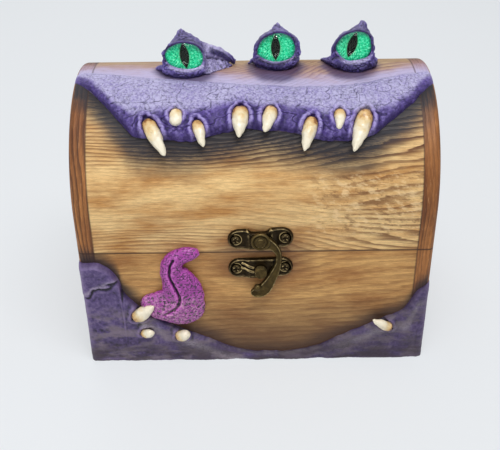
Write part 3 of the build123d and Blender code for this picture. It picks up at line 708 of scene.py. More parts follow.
def tongue_material():
    """Varnished magenta clay full of small pits, which thin out toward the tip."""
    g = Graph("tongue_clay")
    where = g.place()[0]
    along = g.layer("along")
    grit = g.noise(where, 0.9, 4.0, 0.65) - 0.5
    hole = g.cells(where, 0.62).step(0.42, 0.18) * along.step(0.75, 0.3, 0.45, 1.0)
    # Darker in the hollows, pits and groove: the clay's own dark colour, with painted shade in the hollows
    # and groove.
    tone = g.ramp(
        1.05 - g.layer("hollow") + grit * 0.3 - hole * 0.46,
        (0.14, srgb(30, 8, 34)), (0.4, srgb(98, 24, 96)),
        (0.64, srgb(158, 50, 150)), (0.98, srgb(206, 112, 194)),
    )
    low_belly = along.step(0.5, 0.22) * grit.step(-0.1, 0.2)
    tone = g.mix(low_belly * 0.55, tone, srgb(216, 168, 190))
    normal = g.bump(grit * 0.5 - hole * 0.9, 0.45, 0.9)
    return g.finish(tone, 0.34, normal, Coat_Weight=0.35, Coat_Roughness=0.18)


def bronze_material(name, sculpted, dark, light, bright):
    """Aged brass, worn bright on the edges; sculpted pieces carry a painted hollow layer."""
    g = Graph(name)
    where = g.place()[0]
    cloud = g.noise(where, 0.5, 3.0, 0.6)
    grit = g.noise(where, 3.0, 3.0, 0.6)
    tone = g.ramp(cloud, (0.3, dark), (0.7, light))
    if sculpted:
        hollow = g.layer("hollow") + (cloud - 0.5) * 0.3
        tone = g.mix(hollow.step(0.54, 0.8), tone, srgb(14, 10, 6))
        worn = hollow.step(0.44, 0.2)
    else:
        edge = g.node("ShaderNodeNewGeometry", output="Pointiness")
        worn = (edge + (grit - 0.5) * 0.05).step(0.51, 0.56)
    tone = g.mix(worn * 0.9, tone, bright)
    normal = g.bump(grit, 0.08, 0.6)
    return g.finish(tone, cloud * 0.15 + 0.32, normal, Metallic=0.85, Specular_IOR_Level=0.3)


def lens_material():
    """Clear glass that lets light through to the iris."""
    g = Graph("lens_glass")
    look = {"Base Color": (0.9, 1.0, 0.93), "Roughness": 0.02, "IOR": 1.22, "Transmission Weight": 1.0}
    tinted = g.node("ShaderNodeBsdfPrincipled", named=look)
    clear = g.node("ShaderNodeBsdfTransparent")
    passing = g.most(g.ray("Shadow"), g.ray("Diffuse"))
    return g.close(g.node("ShaderNodeMixShader", (passing, tinted, clear)))


def iris_material(name, centre, lean):
    """Emerald iris with light fibres round a dark slit pupil. centre is the lens centre."""
    g = Graph(name)
    where, x, y, z = g.place()
    across = x - centre[0]
    rise = z - centre[2]
    up = rise / math.cos(EYE_TILT)
    reach = g.far(across, up)
    fibre = g.drawn(g.math("ARCTAN2", up, across) * 9.0, reach * 0.8, 1.0, 4.0, 0.8)
    fleck = g.noise(where, 2.4, 3.0, 0.8)
    tone = g.ramp(
        (fibre * 0.62 + fleck * 0.38 - 0.5) * 1.7 + 0.5,
        (0.34, srgb(0, 104, 72)), (0.45, srgb(0, 190, 128)),
        (0.57, srgb(40, 230, 170)), (0.69, srgb(190, 255, 232)),
    )
    tone = g.mix(reach.step(6.6, 8.4) * 0.6, tone, srgb(0, 70, 48))
    # Slit: narrow ends, widest in the middle.
    aside = across * math.cos(lean) - up * math.sin(lean)
    height = (across * math.sin(lean) + up * math.cos(lean)) / 5.0
    gap = abs(aside) - (1.0 - height * height) * 1.8
    tone = g.mix(gap.step(0.9, 0.1) * 0.3, tone, srgb(90, 140, 40))
    tone = g.mix(gap.step(0.12, -0.1), tone, srgb(8, 12, 8))
    # The unpainted rear of the disc is dark.
    forward = (y - centre[1]) * -math.cos(EYE_TILT) + rise * math.sin(EYE_TILT)
    tone = g.mix(forward.step(0.0, -0.06), tone, srgb(18, 10, 48))
    return g.finish(tone, 0.6, Specular_IOR_Level=0.05)


# ---- upper and lower lip -----------------------------------------------------------------

# How thick a tooth is in its collar, by share of its length.
COLLAR_AT = (0.0, 0.07, 0.2, 0.4, 0.7, 1.0)
COLLAR_GIRTH = (0.3, 0.7, 0.95, 1.0, 0.72, 0.2)


def edge_drop(x):
    """How far the chest's rounded end edges lie behind its front."""
    over_end = np.maximum(np.abs(x) - (HALF_WIDTH - EDGE_ROUND), 0.0)
    return EDGE_ROUND - np.sqrt(np.maximum(EDGE_ROUND**2 - over_end**2, 0.0))


def arch_points(x, climb, lift):
    """Points over the lid's front from x, distance up from the spring line and lift."""
    reach = ARCH + lift - edge_drop(x)
    turn = climb / ARCH
    return np.stack([x, -reach * np.cos(turn), SPRING_Z + reach * np.sin(turn)], -1)


def front_points(x, z, lift):
    """Points over the base's front."""
    return np.stack([x, -(ARCH + lift - edge_drop(x)), z], -1)


def on_sheet(pattern, x, across, *settings):
    """A 3-D pattern read over flat coordinates."""
    flat = np.stack([x.ravel(), across.ravel(), np.zeros(x.size)], -1)
    return pattern(flat, *settings).reshape(x.shape)


def collars(x, across, teeth, height, reach):
    """Raised rims round the teeth and dark sockets, dark paint with painted shade: (added height,
    darkness).
    """
    raised, sunk = np.zeros_like(x), np.zeros_like(x)
    for root_x, root_up, tip_x, tip_up, radius in teeth:
        axis = np.array([tip_x - root_x, tip_up - root_up])
        length = np.hypot(*axis)
        axis /= length
        dx, da = x - root_x, across - root_up
        along = dx * axis[0] + da * axis[1]
        aside = da * axis[0] - dx * axis[1]
        girth = radius * np.interp(along / length, COLLAR_AT, COLLAR_GIRTH)
        beyond = np.maximum(np.maximum(-along, along - length), 0.0)
        gap = np.hypot(aside, beyond) - girth
        fade = smoothstep(0.95, 0.55, along / length)
        raised += height * radius / 3.0 * bell(gap, 1.25, 1.0) * fade
        raised += 0.5 * height * bell(np.maximum(gap, 0), 0.0, reach) * fade
        raised -= 1.3 * smoothstep(0.25, -0.3, gap) * fade
        sunk = np.maximum(sunk, smoothstep(0.75, 0.05, gap) * fade)
    return raised, sunk


def lip_object(name, outside, inside, dark, pale, material):
    """Lip between two sheets of points, with its paint on the outside."""
    obj = new_object(name, slab(outside, inside), material)
    bare = np.zeros(dark.size)
    layers = {key: np.append(share, bare) for key, share in (("dark", dark), ("pale", pale))}
    paint(obj, hollow=hollow_depth(obj, 14, 0.55), **layers)
    return obj


def lip_places():
    """Places across the chest, just short of its ends."""
    return np.linspace(-HALF_WIDTH + 0.02, HALF_WIDTH - 0.02, 501)


def upper_lip(material):
    """Thick lower edge with gums and tooth sockets, thinning to a sheet higher up."""
    table = np.array(UPPER_LIP).T
    xs = lip_places()
    low, high, ridge = (smooth_curve(xs, table[0], row) for row in table[1:])
    low, high = ARCH * np.radians(low), ARCH * np.radians(high)
    low = low + 0.5 * on_sheet(fractal, xs, np.zeros_like(xs), 5.0, 11)
    span = high - low
    share = np.linspace(0.0, 1.0, 150)[:, None] ** 1.15
    across = low + share * span
    x = np.broadcast_to(xs, across.shape)
    side = np.abs(x)
    from_edge = across - low

    def noise(*settings):
        return on_sheet(fractal, x, across, *settings)

    nose = rounded(from_edge / 2.6)
    fall = 1.0 - smoothstep(0.0, 1.0, (from_edge - 4.0) / (span - 4.0))
    body = ridge * nose * (0.30 + 0.70 * fall**0.8)
    crease = bell(from_edge, 10.5 + 1.6 * noise(14.0, 21, 2), 0.9)
    body -= 0.75 * crease * smoothstep(-0.35, 0.4, noise(9.0, 25, 2)) * (side < 58)
    cracks = on_sheet(wrinkles, x * 0.55, across, 3.6, 31)
    body -= 0.42 * cracks * smoothstep(1.5, 4.0, from_edge)
    body += 0.32 * noise(4.0, 41, 4) * nose
    body += 0.14 * noise(1.2, 51, 2) * nose
    teeth = [
        (root_x, ARCH * math.radians(root_turn), tip_x, ARCH * math.radians(tip_turn), radius)
        for root_x, root_turn, tip_x, tip_turn, radius in UPPER_TEETH
    ]
    raised, sunk = collars(x, across, teeth, 1.05, 2.6)
    body = np.maximum(body + raised * nose, 0.15 * nose)
    body = body * (0.25 + 0.75 * smoothstep(75.0, 62.0, side))
    top_fade = smoothstep(1.0, 0.80, share)
    lift = body * top_fade - 0.35 * (1 - top_fade) - 0.3 * (1 - nose)

    wing = smoothstep(44.0, 58.0, side)
    crest = smoothstep(0.4, 1.4, raised)
    # Dark paint with painted shade on the underside of the rolled edge and in the sockets round the teeth;
    # the gums are darker paint.
    rim = 0.95 * smoothstep(5.0, 0.4, from_edge + 1.2 * noise(5.0, 61, 2))
    gum_place = from_edge + 1.2 * noise(6.0, 63, 2)
    gum = 0.6 * smoothstep(11.5 - 5.5 * wing, 7.0 - 4.0 * wing, gum_place)
    dark = np.maximum(np.maximum(rim, gum * (1 - 0.8 * crest)) * (1 - 0.5 * crest), sunk)
    sheet_place = from_edge + 1.5 * noise(7.0, 67, 2)
    sheet = smoothstep(8.0 - 5.0 * wing, 13.0 - 6.0 * wing, sheet_place)
    pale = np.maximum(0.85 * sheet, 0.1 * crest * smoothstep(0.0, 0.3, 1 - sunk))
    outside, inside = arch_points(x, across, lift), arch_points(x, across, -1.0 + 0.0 * lift)
    return lip_object("upper_lip_clay", outside, inside, dark, pale, material)


def lower_lip(material):
    """Jaw from the mouth's lower edge to the foot, with a worn step at the upper left."""
    xs = lip_places()
    edge = smooth_curve(xs, *np.array(LOWER_LIP).T)
    edge = edge + 0.4 * on_sheet(fractal, xs, np.zeros_like(xs), 6.0, 111)
    share = np.linspace(0.0, 1.0, 110)[:, None] ** 1.4
    z = edge * (1.0 - share) + 0.02
    x = np.broadcast_to(xs, z.shape)
    from_edge = (edge - z) / np.sqrt(1.0 + np.gradient(edge, xs) ** 2)

    def noise(*settings):
        return on_sheet(fractal, x, z, *settings)

    nose = rounded(from_edge / 1.7)
    body = nose * (1.75 + 0.35 * bell(from_edge, 2.6, 2.0))
    body += 0.3 * noise(7.0, 121) * nose
    body += 0.12 * noise(1.5, 131) * nose
    step = z - 42.0 - 0.5 * (x + 66.0) + 1.6 * noise(4.0, 125)
    corner = smoothstep(-57.0, -61.0, x)
    body += 0.9 * smoothstep(-0.7, 0.5, step) * corner * nose
    body -= 0.35 * bell(step, -1.2, 0.8) * corner * nose
    cracks = on_sheet(wrinkles, x, z, 7.5, 141)
    body -= 0.1 * cracks * nose * smoothstep(-62.0, -54.0, x + 0.3 * (20.0 - z))
    raised, sunk = collars(x, z, LOWER_TEETH, 0.95, 2.0)
    body = np.maximum(body + raised * nose, 0.15 * nose)
    lift = body - 0.35 * (1 - nose)

    # Darker along the lip's upper edge and toward the foot; the tooth sockets get dark paint with painted
    # shade.
    darkening = np.maximum(0.5 * smoothstep(1.6, 0.2, from_edge), 0.35 * smoothstep(0.45, 0.95, share))
    streak = bell(from_edge, 5.0 + noise(9.0, 151, 2), 2.4)
    streak = streak * smoothstep(-0.25, 0.5, noise(12.0, 155, 2)) * smoothstep(-56.0, -50.0, x)
    fold = bell(step, 0.9, 0.7) * corner
    pale = np.maximum(0.7 * streak, 0.4 * fold) * (1 - sunk)
    outside, inside = front_points(x, z, lift), front_points(x, z, -1.0 + 0.0 * lift)
    return lip_object("lower_lip_clay", outside, inside, np.maximum(darkening, sunk), pale, material)


# ---- teeth -------------------------------------------------------------------------------

# How thick long and short teeth are, by share of their length.
TAPER_AT = (0.0, 0.02, 0.06, 0.13, 0.22, 0.4, 0.68, 0.88, 0.97, 1.0)
FANG = (0.1, 0.42, 0.68, 0.88, 0.98, 1.0, 0.74, 0.44, 0.22, 0.08)
NUB = (0.1, 0.42, 0.66, 0.84, 0.96, 1.0, 0.96, 0.7, 0.42, 0.16)


def tooth(name, root, tip, out, radius, seed, material):
    """Carved tooth from root to tip, slightly bowed out."""
    root, tip, out = np.array(root), np.array(tip), np.array(out)
    share = np.linspace(0.0, 1.0, 44)
    run = share[:, None]
    path = root * (1 - run) + tip * run + 0.5 * np.sin(np.pi * run) * out
    length = np.linalg.norm(tip - root)
    girth = radius * smooth_curve(share, TAPER_AT, FANG if length > 3.6 * radius else NUB)
    obj = new_object(name, tube(path, girth, girth * 0.94, out, 36), material)
    points, normals = read_points(obj)
    facets = np.abs(fractal(points * (1.0, 1.0, 0.6), 3.8, seed + 40, 2))
    carve = 0.2 * fractal(points, 2.4, seed) - 0.34 * facets + 0.1
    points = points + normals * carve[:, None]
    write_points(obj, points)
    along = np.clip((points - root) @ ((tip - root) / length) / length, 0.0, 1.0)
    paint(obj, along=along, hollow=hollow_depth(obj, 5, 0.25))
    return obj


def arch_spot(x, degrees, lift):
    """Point over the lid from x, angle up the arch and lift."""
    turn = math.radians(degrees)
    reach = ARCH + lift
    return x, -reach * math.cos(turn), SPRING_Z + reach * math.sin(turn)


def build_teeth(material):
    for number, (root_x, root_turn, tip_x, tip_turn, radius) in enumerate(UPPER_TEETH, 1):
        name = f"upper_tooth_{number}"
        root, tip = arch_spot(root_x, root_turn, 2.4), arch_spot(tip_x, tip_turn, 4.4)
        middle = math.radians((root_turn + tip_turn) / 2)
        out = (0.0, -math.cos(middle), math.sin(middle))
        piece = tooth(name + "_enamel", root, tip, out, radius, 200 + number, material)
        dress(piece, "lid", name)
    for number, (root_x, root_z, tip_x, tip_z, radius) in enumerate(LOWER_TEETH, 1):
        name = f"lower_tooth_{number}"
        root, tip = (root_x, -ARCH - 1.8, root_z), (tip_x, -ARCH - 4.4, tip_z)
        out = (0.0, -1.0, 0.0)
        piece = tooth(name + "_enamel", root, tip, out, radius, 300 + number, material)
        dress(piece, "base", name)


# ---- tongue ------------------------------------------------------------------------------

def path_gap(flat, path):
    """Distance of each point from a line through dense points."""
    batches = np.array_split(flat, 1 + len(flat) // 4000)
    squares = [((part[:, None] - path) ** 2).sum(-1).min(1) for part in batches]
    return np.sqrt(np.concatenate(squares))


def tongue(material):
    """Curled tongue lying on the front, grooved down the middle and pitted."""
    x, z, half, height = dense_line(TONGUE, 120).T
    path = np.stack([x, -ARCH - 0.42 * height, z], -1)
    forms = [tube(path, half, 0.56 * height, (0.0, -1.0, 0.0), 64)]
    for lump_x, lump_z, wide, tall, high in TONGUE_LUMPS:
        forms.append(blob((lump_x, -ARCH - 0.3 * high, lump_z), (wide, 0.7 * high, tall), 24, 40))
    obj = knead("tongue_clay", forms, 0.33, 16, material)
    points, normals = read_points(obj)
    gap = path_gap(points[:, [0, 2]], dense_line(TONGUE_GROOVE, 160))
    facing = normals[:, 1] < -0.2
    groove = bell(gap, 0.0, 0.5) * facing
    swell = bell(gap, 1.7, 1.1) * facing
    pits = smoothstep(0.2, 0.0, np.abs(fractal(points, 1.5, 401, 2)))
    lift = 0.2 * fractal(points, 3.0, 411) - 0.3 * pits - 1.3 * groove + 0.35 * swell
    points = points + normals * lift[:, None]
    points[:, 1] = np.minimum(points[:, 1], -ARCH + 0.3)
    write_points(obj, points)
    # The groove is added to the hollow layer as painted shade.
    depth = np.clip(hollow_depth(obj, 8, 0.5) + 0.45 * groove, 0, 1)
    paint(obj, hollow=depth, along=smoothstep(22.0, 60.0, points[:, 2]))
    return obj


# ---- eyes --------------------------------------------------------------------------------

# How far the eyes look up, how far down the camera looks at them, and the glass over them.
EYE_TILT = math.radians(14.0)
EYE_VIEW = math.radians(20.2)
LENS_REACH = 8.2
LENS_DOME = 4.2
LENS_RIM = 0.45
LENS_BACK = 0.38
LENS_BALL = (LENS_REACH**2 + LENS_DOME**2) / (2 * LENS_DOME)

# Directions across, up and out of an eye.
EYE_AXES = np.array([
    (1.0, 0.0, 0.0),
    (0.0, math.sin(EYE_TILT), math.cos(EYE_TILT)),
    (0.0, -math.cos(EYE_TILT), math.sin(EYE_TILT)),
])
EYE_OUT = EYE_AXES[2]

# Opening between the lids of each eye.
ALMONDS = {
    "left": ((-8.1, 0.0), (-5.9, 3.5), (-0.8, 5.2), (4.6, 4.0), (7.5, 0.4), (6.4, -4.2),
             (0.3, -5.3), (-5.8, -3.7)),
    "middle": ((-7.5, -1.9), (-5.4, 3.3), (0.8, 5.9), (6.0, 4.3), (8.0, -0.5), (6.5, -4.2),
               (0.6, -5.7), (-4.7, -4.5)),
    "right": ((-6.8, -0.6), (-3.9, 3.7), (2.0, 5.5), (6.6, 3.5), (7.9, -1.4), (6.9, -4.9),
              (-0.8, -6.2), (-4.7, -4.5)),
}

# Outline of each hood over its eye, from the left corner over the peak to the right corner.
HOODS = {
    "left": ((-8.9, -4.8), (-8.9, -1.5), (-7.9, 1.2), (-5.8, 4.8), (-3.4, 8.0), (-1.2, 10.6),
             (0.8, 9.4), (6.5, 5.8), (8.0, 2.8), (8.6, -1.0), (8.3, -5.0)),
    "middle": ((-9.0, -5.0), (-9.3, -1.5), (-8.1, 1.8), (-4.5, 5.6), (-1.5, 7.5), (0.8, 9.9),
               (2.4, 8.2), (5.4, 6.1), (9.2, 3.2), (10.3, 0.0), (10.2, -4.0)),
    "right": ((-8.4, -5.6), (-8.3, -1.5), (-6.5, 0.8), (-3.8, 4.1), (0.6, 6.9), (3.6, 8.6),
              (4.9, 9.7), (5.9, 8.0), (6.9, 5.2), (8.9, 1.2), (9.6, -3.0), (9.8, -7.0)),
}

# Lower lid roll of each eye as seen: sideways, up, radius and how close it is to the wood.
ROLLS = {
    "left": ((-12.9, -5.3, 0.3, 1.0), (-9.6, -5.3, 1.4, 0.8), (-6.8, -6.1, 2.2, 0.45),
             (0.0, -7.4, 2.5, 0.4), (6.6, -6.3, 2.2, 0.45), (8.9, -5.4, 1.4, 0.8),
             (10.4, -6.4, 0.3, 1.0)),
    "middle": ((-11.6, -6.8, 0.3, 1.0), (-8.9, -5.6, 1.3, 0.8), (-5.0, -6.3, 2.0, 0.45),
               (0.7, -7.4, 2.2, 0.4), (6.6, -6.3, 2.2, 0.45), (9.4, -4.4, 1.5, 0.7),
               (11.0, -3.0, 0.4, 1.0)),
    "right": ((-11.8, -6.3, 0.3, 1.0), (-8.6, -6.6, 1.6, 0.8), (-4.6, -7.7, 2.5, 0.45),
              (1.2, -8.9, 2.8, 0.4), (7.4, -7.7, 2.5, 0.45), (10.1, -6.8, 1.5, 0.8),
              (10.8, -9.4, 0.3, 1.0)),
}

# Clay behind the glass of each eye: middle across and up, half width, half height.
SHELLS = {
    "left": (-0.3, -0.9, 8.1, 6.0),
    "middle": (0.7, -0.7, 8.6, 6.2),
    "right": (1.3, -1.2, 8.2, 6.2),
}
EYE_SEEDS = {"left": 500, "middle": 520, "right": 540}

# Cloth-like fold behind the left eye: x and y from the eye, z.
FOLD = ((5.0, 5.0, 129.4), (10.5, 7.5, 127.8), (15.5, 9.0, 125.6), (20.8, 10.4, 121.4))


def seen_point(centre, across, up, lift, share):
    """Point seen at an offset from an eye's centre, part of the way back to the wood."""
    view_up = np.array([0.0, math.sin(EYE_VIEW), math.cos(EYE_VIEW)])
    away = np.array([0.0, math.cos(EYE_VIEW), -math.sin(EYE_VIEW)])
    point = centre + across * EYE_AXES[0] + up * view_up
    from_axis = point - np.array([point[0], 0.0, SPRING_Z])
    toward = from_axis @ away
    inner = toward**2 - (from_axis @ from_axis - (ARCH + lift) ** 2)
    back = -toward - math.sqrt(max(inner, 0.0))
    return point + share * back * away


def closed_curve(points, count):
    """Smooth closed curve through points, evenly sampled by parameter."""
    table = np.asarray(points, float)
    places = np.linspace(0, len(table), count, endpoint=False)
    cell = places.astype(int)
    t = (places - cell)[:, None]
    a, b, c, d = (table[(cell + shift) % len(table)] for shift in (-1, 0, 1, 2))
    square, cube = 2 * a - 5 * b + 4 * c - d, 3 * b - a - 3 * c + d
    return 0.5 * (2 * b + (c - a) * t + square * t**2 + cube * t**3)


def opening_reach(name, angles):
    """How far the opening of an eye reaches from its middle, by angle."""
    almond = closed_curve(ALMONDS[name], 96)
    turn = np.arctan2(almond[:, 1], almond[:, 0])
    order = np.argsort(turn)
    return np.interp(angles, turn[order], np.hypot(*almond.T)[order], period=2 * math.pi)


def glass_height(reach):
    """Height of the domed glass at a distance from its middle."""
    return LENS_DOME - LENS_BALL + np.sqrt(LENS_BALL**2 - reach**2)


def eye_forms(name, centre, peak_x):
    """Lids round the glass, a mound behind it and a pinched peak over it."""
    x, y, z = centre

    def at(*columns):
        """Points from their distances across, up and out of the eye."""
        return centre + np.stack(np.broadcast_arrays(*columns), -1) @ EYE_AXES

    almond = closed_curve(ALMONDS[name], 96)
    turn = np.arctan2(almond[:, 1], almond[:, 0])
    ring = almond + almond / np.hypot(*almond.T)[:, None] * 0.7
    dome = np.maximum(glass_height(np.minimum(np.hypot(*ring.T), LENS_REACH)), 0.2) + 0.1
    upper = np.sin(turn) > -0.3
    order = np.argsort(np.mod(turn[upper] + math.pi / 2, 2 * math.pi))
    forms = [tube(at(*ring.T, dome)[upper][order], 0.6, 0.8, EYE_OUT, 16)]
    # Lower lid: a thick roll whose corners run out to points on the wood.
    roll = dense_line(ROLLS[name], 60)
    line = [seen_point(centre, a, b, 0.3 + 0.5 * size, share) for a, b, size, share in roll]
    girth = np.maximum(roll[:, 2], 0.3)
    forms.append(tube(line, girth, girth * 1.05, EYE_OUT))
    forms.append(blob(at(0.4, -7.2, -2.4), (6.8, 4.0, 2.2)))
    forms.append(blob((x, y + 5.5, 120.5), (8.8, 7.6, 4.4)))
    # Back of the eye and the mound that carries it.
    mid_a, mid_b, half_a, half_b = SHELLS[name]
    shell, shell_faces = blob((mid_a, mid_b, -2.2), (half_a, half_b, 2.0))
    forms.append((at(*shell.T), shell_faces))
    forms.append(blob((x + 0.3, y + 5.4, z - 4.6), (8.0, 5.0, 5.6)))
    # Pinched hood: a sheet from the upper lid to a peaked outline.
    hood = dense_line(HOODS[name], 64)
    peak = peak_x - x
    sizes = 0.35 + 0.4 * smoothstep(0.0, 4.0, np.abs(hood[:, 0] - peak))
    inset = hood * (1 - 0.6 * sizes / np.hypot(*hood.T))[:, None]
    rim = at(*inset.T, -0.9)
    forms.append(tube(rim, sizes, sizes * 1.3, EYE_OUT, 14))
    angles = np.arctan2(inset[:, 1], inset[:, 0])
    start = opening_reach(name, angles) + 0.5
    feet = at(start * np.cos(angles), start * np.sin(angles), 0.2)
    for foot, end, size in zip(feet[1:-1], rim[1:-1], sizes[1:-1]):
        forms.append(strut(foot, end, 0.75, size, EYE_OUT, 10))
    top = hood[:, 1].max()
    crest = at((peak, peak, peak * 1.05), (6.2, top - 1.4, top + 0.2), (0.0, -0.9, -1.4))
    forms.append(tube(crest, (1.5, 0.9, 0.4), (1.1, 0.8, 0.4), EYE_OUT, 16))
    if name == "left":
        share = np.linspace(0, 3, 24)
        columns = (np.array(FOLD) + (x, y, 0.0)).T
        line = np.stack([np.interp(share, range(4), column) for column in columns], -1)
        wide, high = np.linspace(4.8, 1.5, 24), np.linspace(3.2, 1.0, 24)
        forms.append(tube(line, wide, high, (0.0, -0.3, 1.0), 20))
        for run in (3.0, 5.5, 8.0, 10.5, 13.0):
            head = (x + 4.0 + 0.8 * run, y + 4.5 + 0.3 * run, 128.6 - 0.5 * run)
            foot = (x + 6.0 + run, y - 3.5 + 0.75 * run, 120.4)
            forms.append(strut(head, foot, 1.7, 1.7, EYE_OUT, 12))
    return forms


def eye_socket(name, centre, peak_x, material):
    """Clay of an eye, kneaded from its forms, creased, fitted to glass and wood, and painted."""
    centre = np.array(centre)
    obj = knead(f"eye_{name}_clay", eye_forms(name, centre, peak_x), 0.3, 3, material)
    points, normals = read_points(obj)
    seed = EYE_SEEDS[name]
    lift = 0.36 * fractal(points, 2.0, seed, 4)
    lift -= 0.55 * wrinkles(points * (0.6, 1.0, 1.2), 2.2, seed + 5)
    aside, rise, ahead = ((points - centre) @ EYE_AXES.T).T
    over_glass = (np.hypot(aside / 7.8, rise / 6.2) < 1.0) & (ahead > 0)
    points = points + normals * np.where(over_glass, lift * 0.3, lift)[:, None]
    # No clay in front of the painted disc: it stays behind it inside the almond.
    local = (points - centre) @ EYE_AXES.T
    aside, rise, ahead = local.T
    opening = opening_reach(name, np.arctan2(rise, aside))
    off_axis = np.hypot(aside, rise)
    covered = off_axis < opening
    ahead = np.where(covered, np.minimum(ahead, -0.9), ahead)
    # Round the opening the clay lies on the glass and hides its edge.
    near = smoothstep(opening + 1.5, opening + 0.9, off_axis) * ~covered
    near = near * (normals @ EYE_OUT > 0.1) * (ahead > -2.4)
    glass_top = glass_height(np.minimum(off_axis, LENS_REACH))
    ahead = ahead + near * np.maximum(glass_top + 0.3 - ahead, 0.0)
    points = centre + np.stack([aside, rise, ahead], -1) @ EYE_AXES
    # The foot sits on the lid and does not come through it.
    from_axis = np.hypot(points[:, 1], points[:, 2] - SPRING_Z)
    push = np.maximum(1.0, (ARCH - 1.2) / np.maximum(from_axis, 1.0))
    points[:, 1] *= push
    points[:, 2] = SPRING_Z + (points[:, 2] - SPRING_Z) * push
    write_points(obj, points)

    beyond = off_axis - opening
    # Painted shade by the glass under the lids, on the underside of the lower roll and on faces that look
    # down; the hood is darker paint.
    rim = smoothstep(1.7, 0.5, beyond) * (ahead > -1) * (rise > -2.5)
    above = smoothstep(0.0, 4.0, rise)
    dark = 0.8 * rim + 0.8 * smoothstep(-6.2, -8.0, rise) + 0.7 * np.clip(-normals[:, 2], 0, 1)
    dark += 0.45 * above * (np.abs(aside) < 10.5)
    # Painted highlight on faces that look up, on the hood and on the lower lid's top edge.
    ledge = smoothstep(2.2, 0.8, beyond) * (rise < -1.0)
    pale = smoothstep(0.2, 0.8, normals[:, 2]) * (1 - rim) * (0.3 * above + 0.9 * ledge)
    if name == "left":
        # Painted shadow in the hollow under the fold, which is pale itself.
        under = np.interp(aside, (10.5, 15.5, 20.8), (3.2, 0.9, -3.7)) - rise
        hollow = smoothstep(0.2, 0.9, under) * smoothstep(3.8, 2.6, under)
        hollow = hollow * smoothstep(9.0, 11.5, aside)
        dark += hollow
        pale += 0.7 * smoothstep(7.0, 10.0, aside) * smoothstep(20.0, 15.0, aside) * (1 - hollow)
    layers = {"dark": np.clip(dark, 0, 1), "pale": np.clip(pale, 0, 1)}
    paint(obj, hollow=hollow_depth(obj, 8, 0.6), **layers)
    return obj


def almond_form(name, centre, sides, top, rings, bottom):
    """Closed form a little wider than the opening; rings are (share of reach, height or None)."""
    turns = np.linspace(0, 2 * math.pi, sides, endpoint=False)
    reach = np.minimum(opening_reach(name, turns) + 0.5, LENS_REACH)
    loops = []
    for share, height in rings:
        radius = reach * share
        if height is None:
            height = np.maximum(glass_height(radius), LENS_RIM)
        columns = np.broadcast_arrays(radius * np.cos(turns), radius * np.sin(turns), height)
        loops.append(np.stack(columns, -1))
    points, faces = capped((0.0, 0.0, top), loops, (0.0, 0.0, bottom))
    return np.array(centre) + points @ EYE_AXES, faces


def lens(name, centre, material):
    """Domed glass over the iris, its edge under the lids."""
    dome = [(share, None) for share in np.sin(np.linspace(0.0, math.pi / 2, 15))[1:]]
    rings = [*dome, (1.0, LENS_BACK)]
    form = almond_form(name, centre, 72, LENS_DOME, rings, LENS_BACK)
    return new_object(f"eye_{name}_glass", form, material)


def iris_disc(name, centre, material):
    """Slightly domed painted disc, bonded to the back of the glass."""
    rings = ((0.35, 0.31), (0.7, 0.2), (1.0, 0.06), (1.0, -0.4))
    form = almond_form(name, centre, 64, 0.35, rings, -0.4)
    return new_object(f"eye_{name}_iris_painted", form, material)


# ---- latch -------------------------------------------------------------------------------

PLATE_HALF = 13.7
PLATE_ROUND = 4.8
PLATE_SCREW = 10.45
HOOK_EYE = (2.0, 65.2)

# Ribs pressed into the lower plate: start and end.
RIBS = (((-7.6, 2.7), (-3.2, 0.6)), ((-7.9, 0.4), (-3.2, -1.6)))

# Hook arm from the eye to the thumb tab: middle x and z, half width.
HOOK_ARM = (
    (4.4, 64.4, 3.1), (6.9, 63.0, 2.2), (8.7, 60.9, 1.6), (9.6, 58.0, 1.3), (9.5, 55.0, 1.35),
    (8.8, 52.0, 1.65), (7.7, 49.0, 2.0), (6.4, 46.0, 2.25), (5.0, 43.3, 2.6), (3.3, 41.0, 2.9),
    (1.4, 39.8, 3.0), (-0.4, 39.4, 2.4), (-1.6, 39.4, 1.5), (-2.3, 39.5, 0.5),
)

# Turned section of the hook's eye: radius, height off the wood.
HOOK_SECTION = (
    (0.0, 2.3), (3.8, 2.3), (4.1, 2.7), (4.1, 3.8), (3.7, 4.2), (3.2, 4.1),
    (2.8, 3.65), (2.3, 3.7), (2.0, 3.95), (0.0, 3.95),
)


def near_line(u, w, start, end):
    """Distance of flat points from a straight line between two ends."""
    start, end = np.array(start), np.array(end)
    axis = end - start
    share = np.clip(((u - start[0]) * axis[0] + (w - start[1]) * axis[1]) / (axis @ axis), 0, 1)
    return np.hypot(u - start[0] - share * axis[0], w - start[1] - share * axis[1])


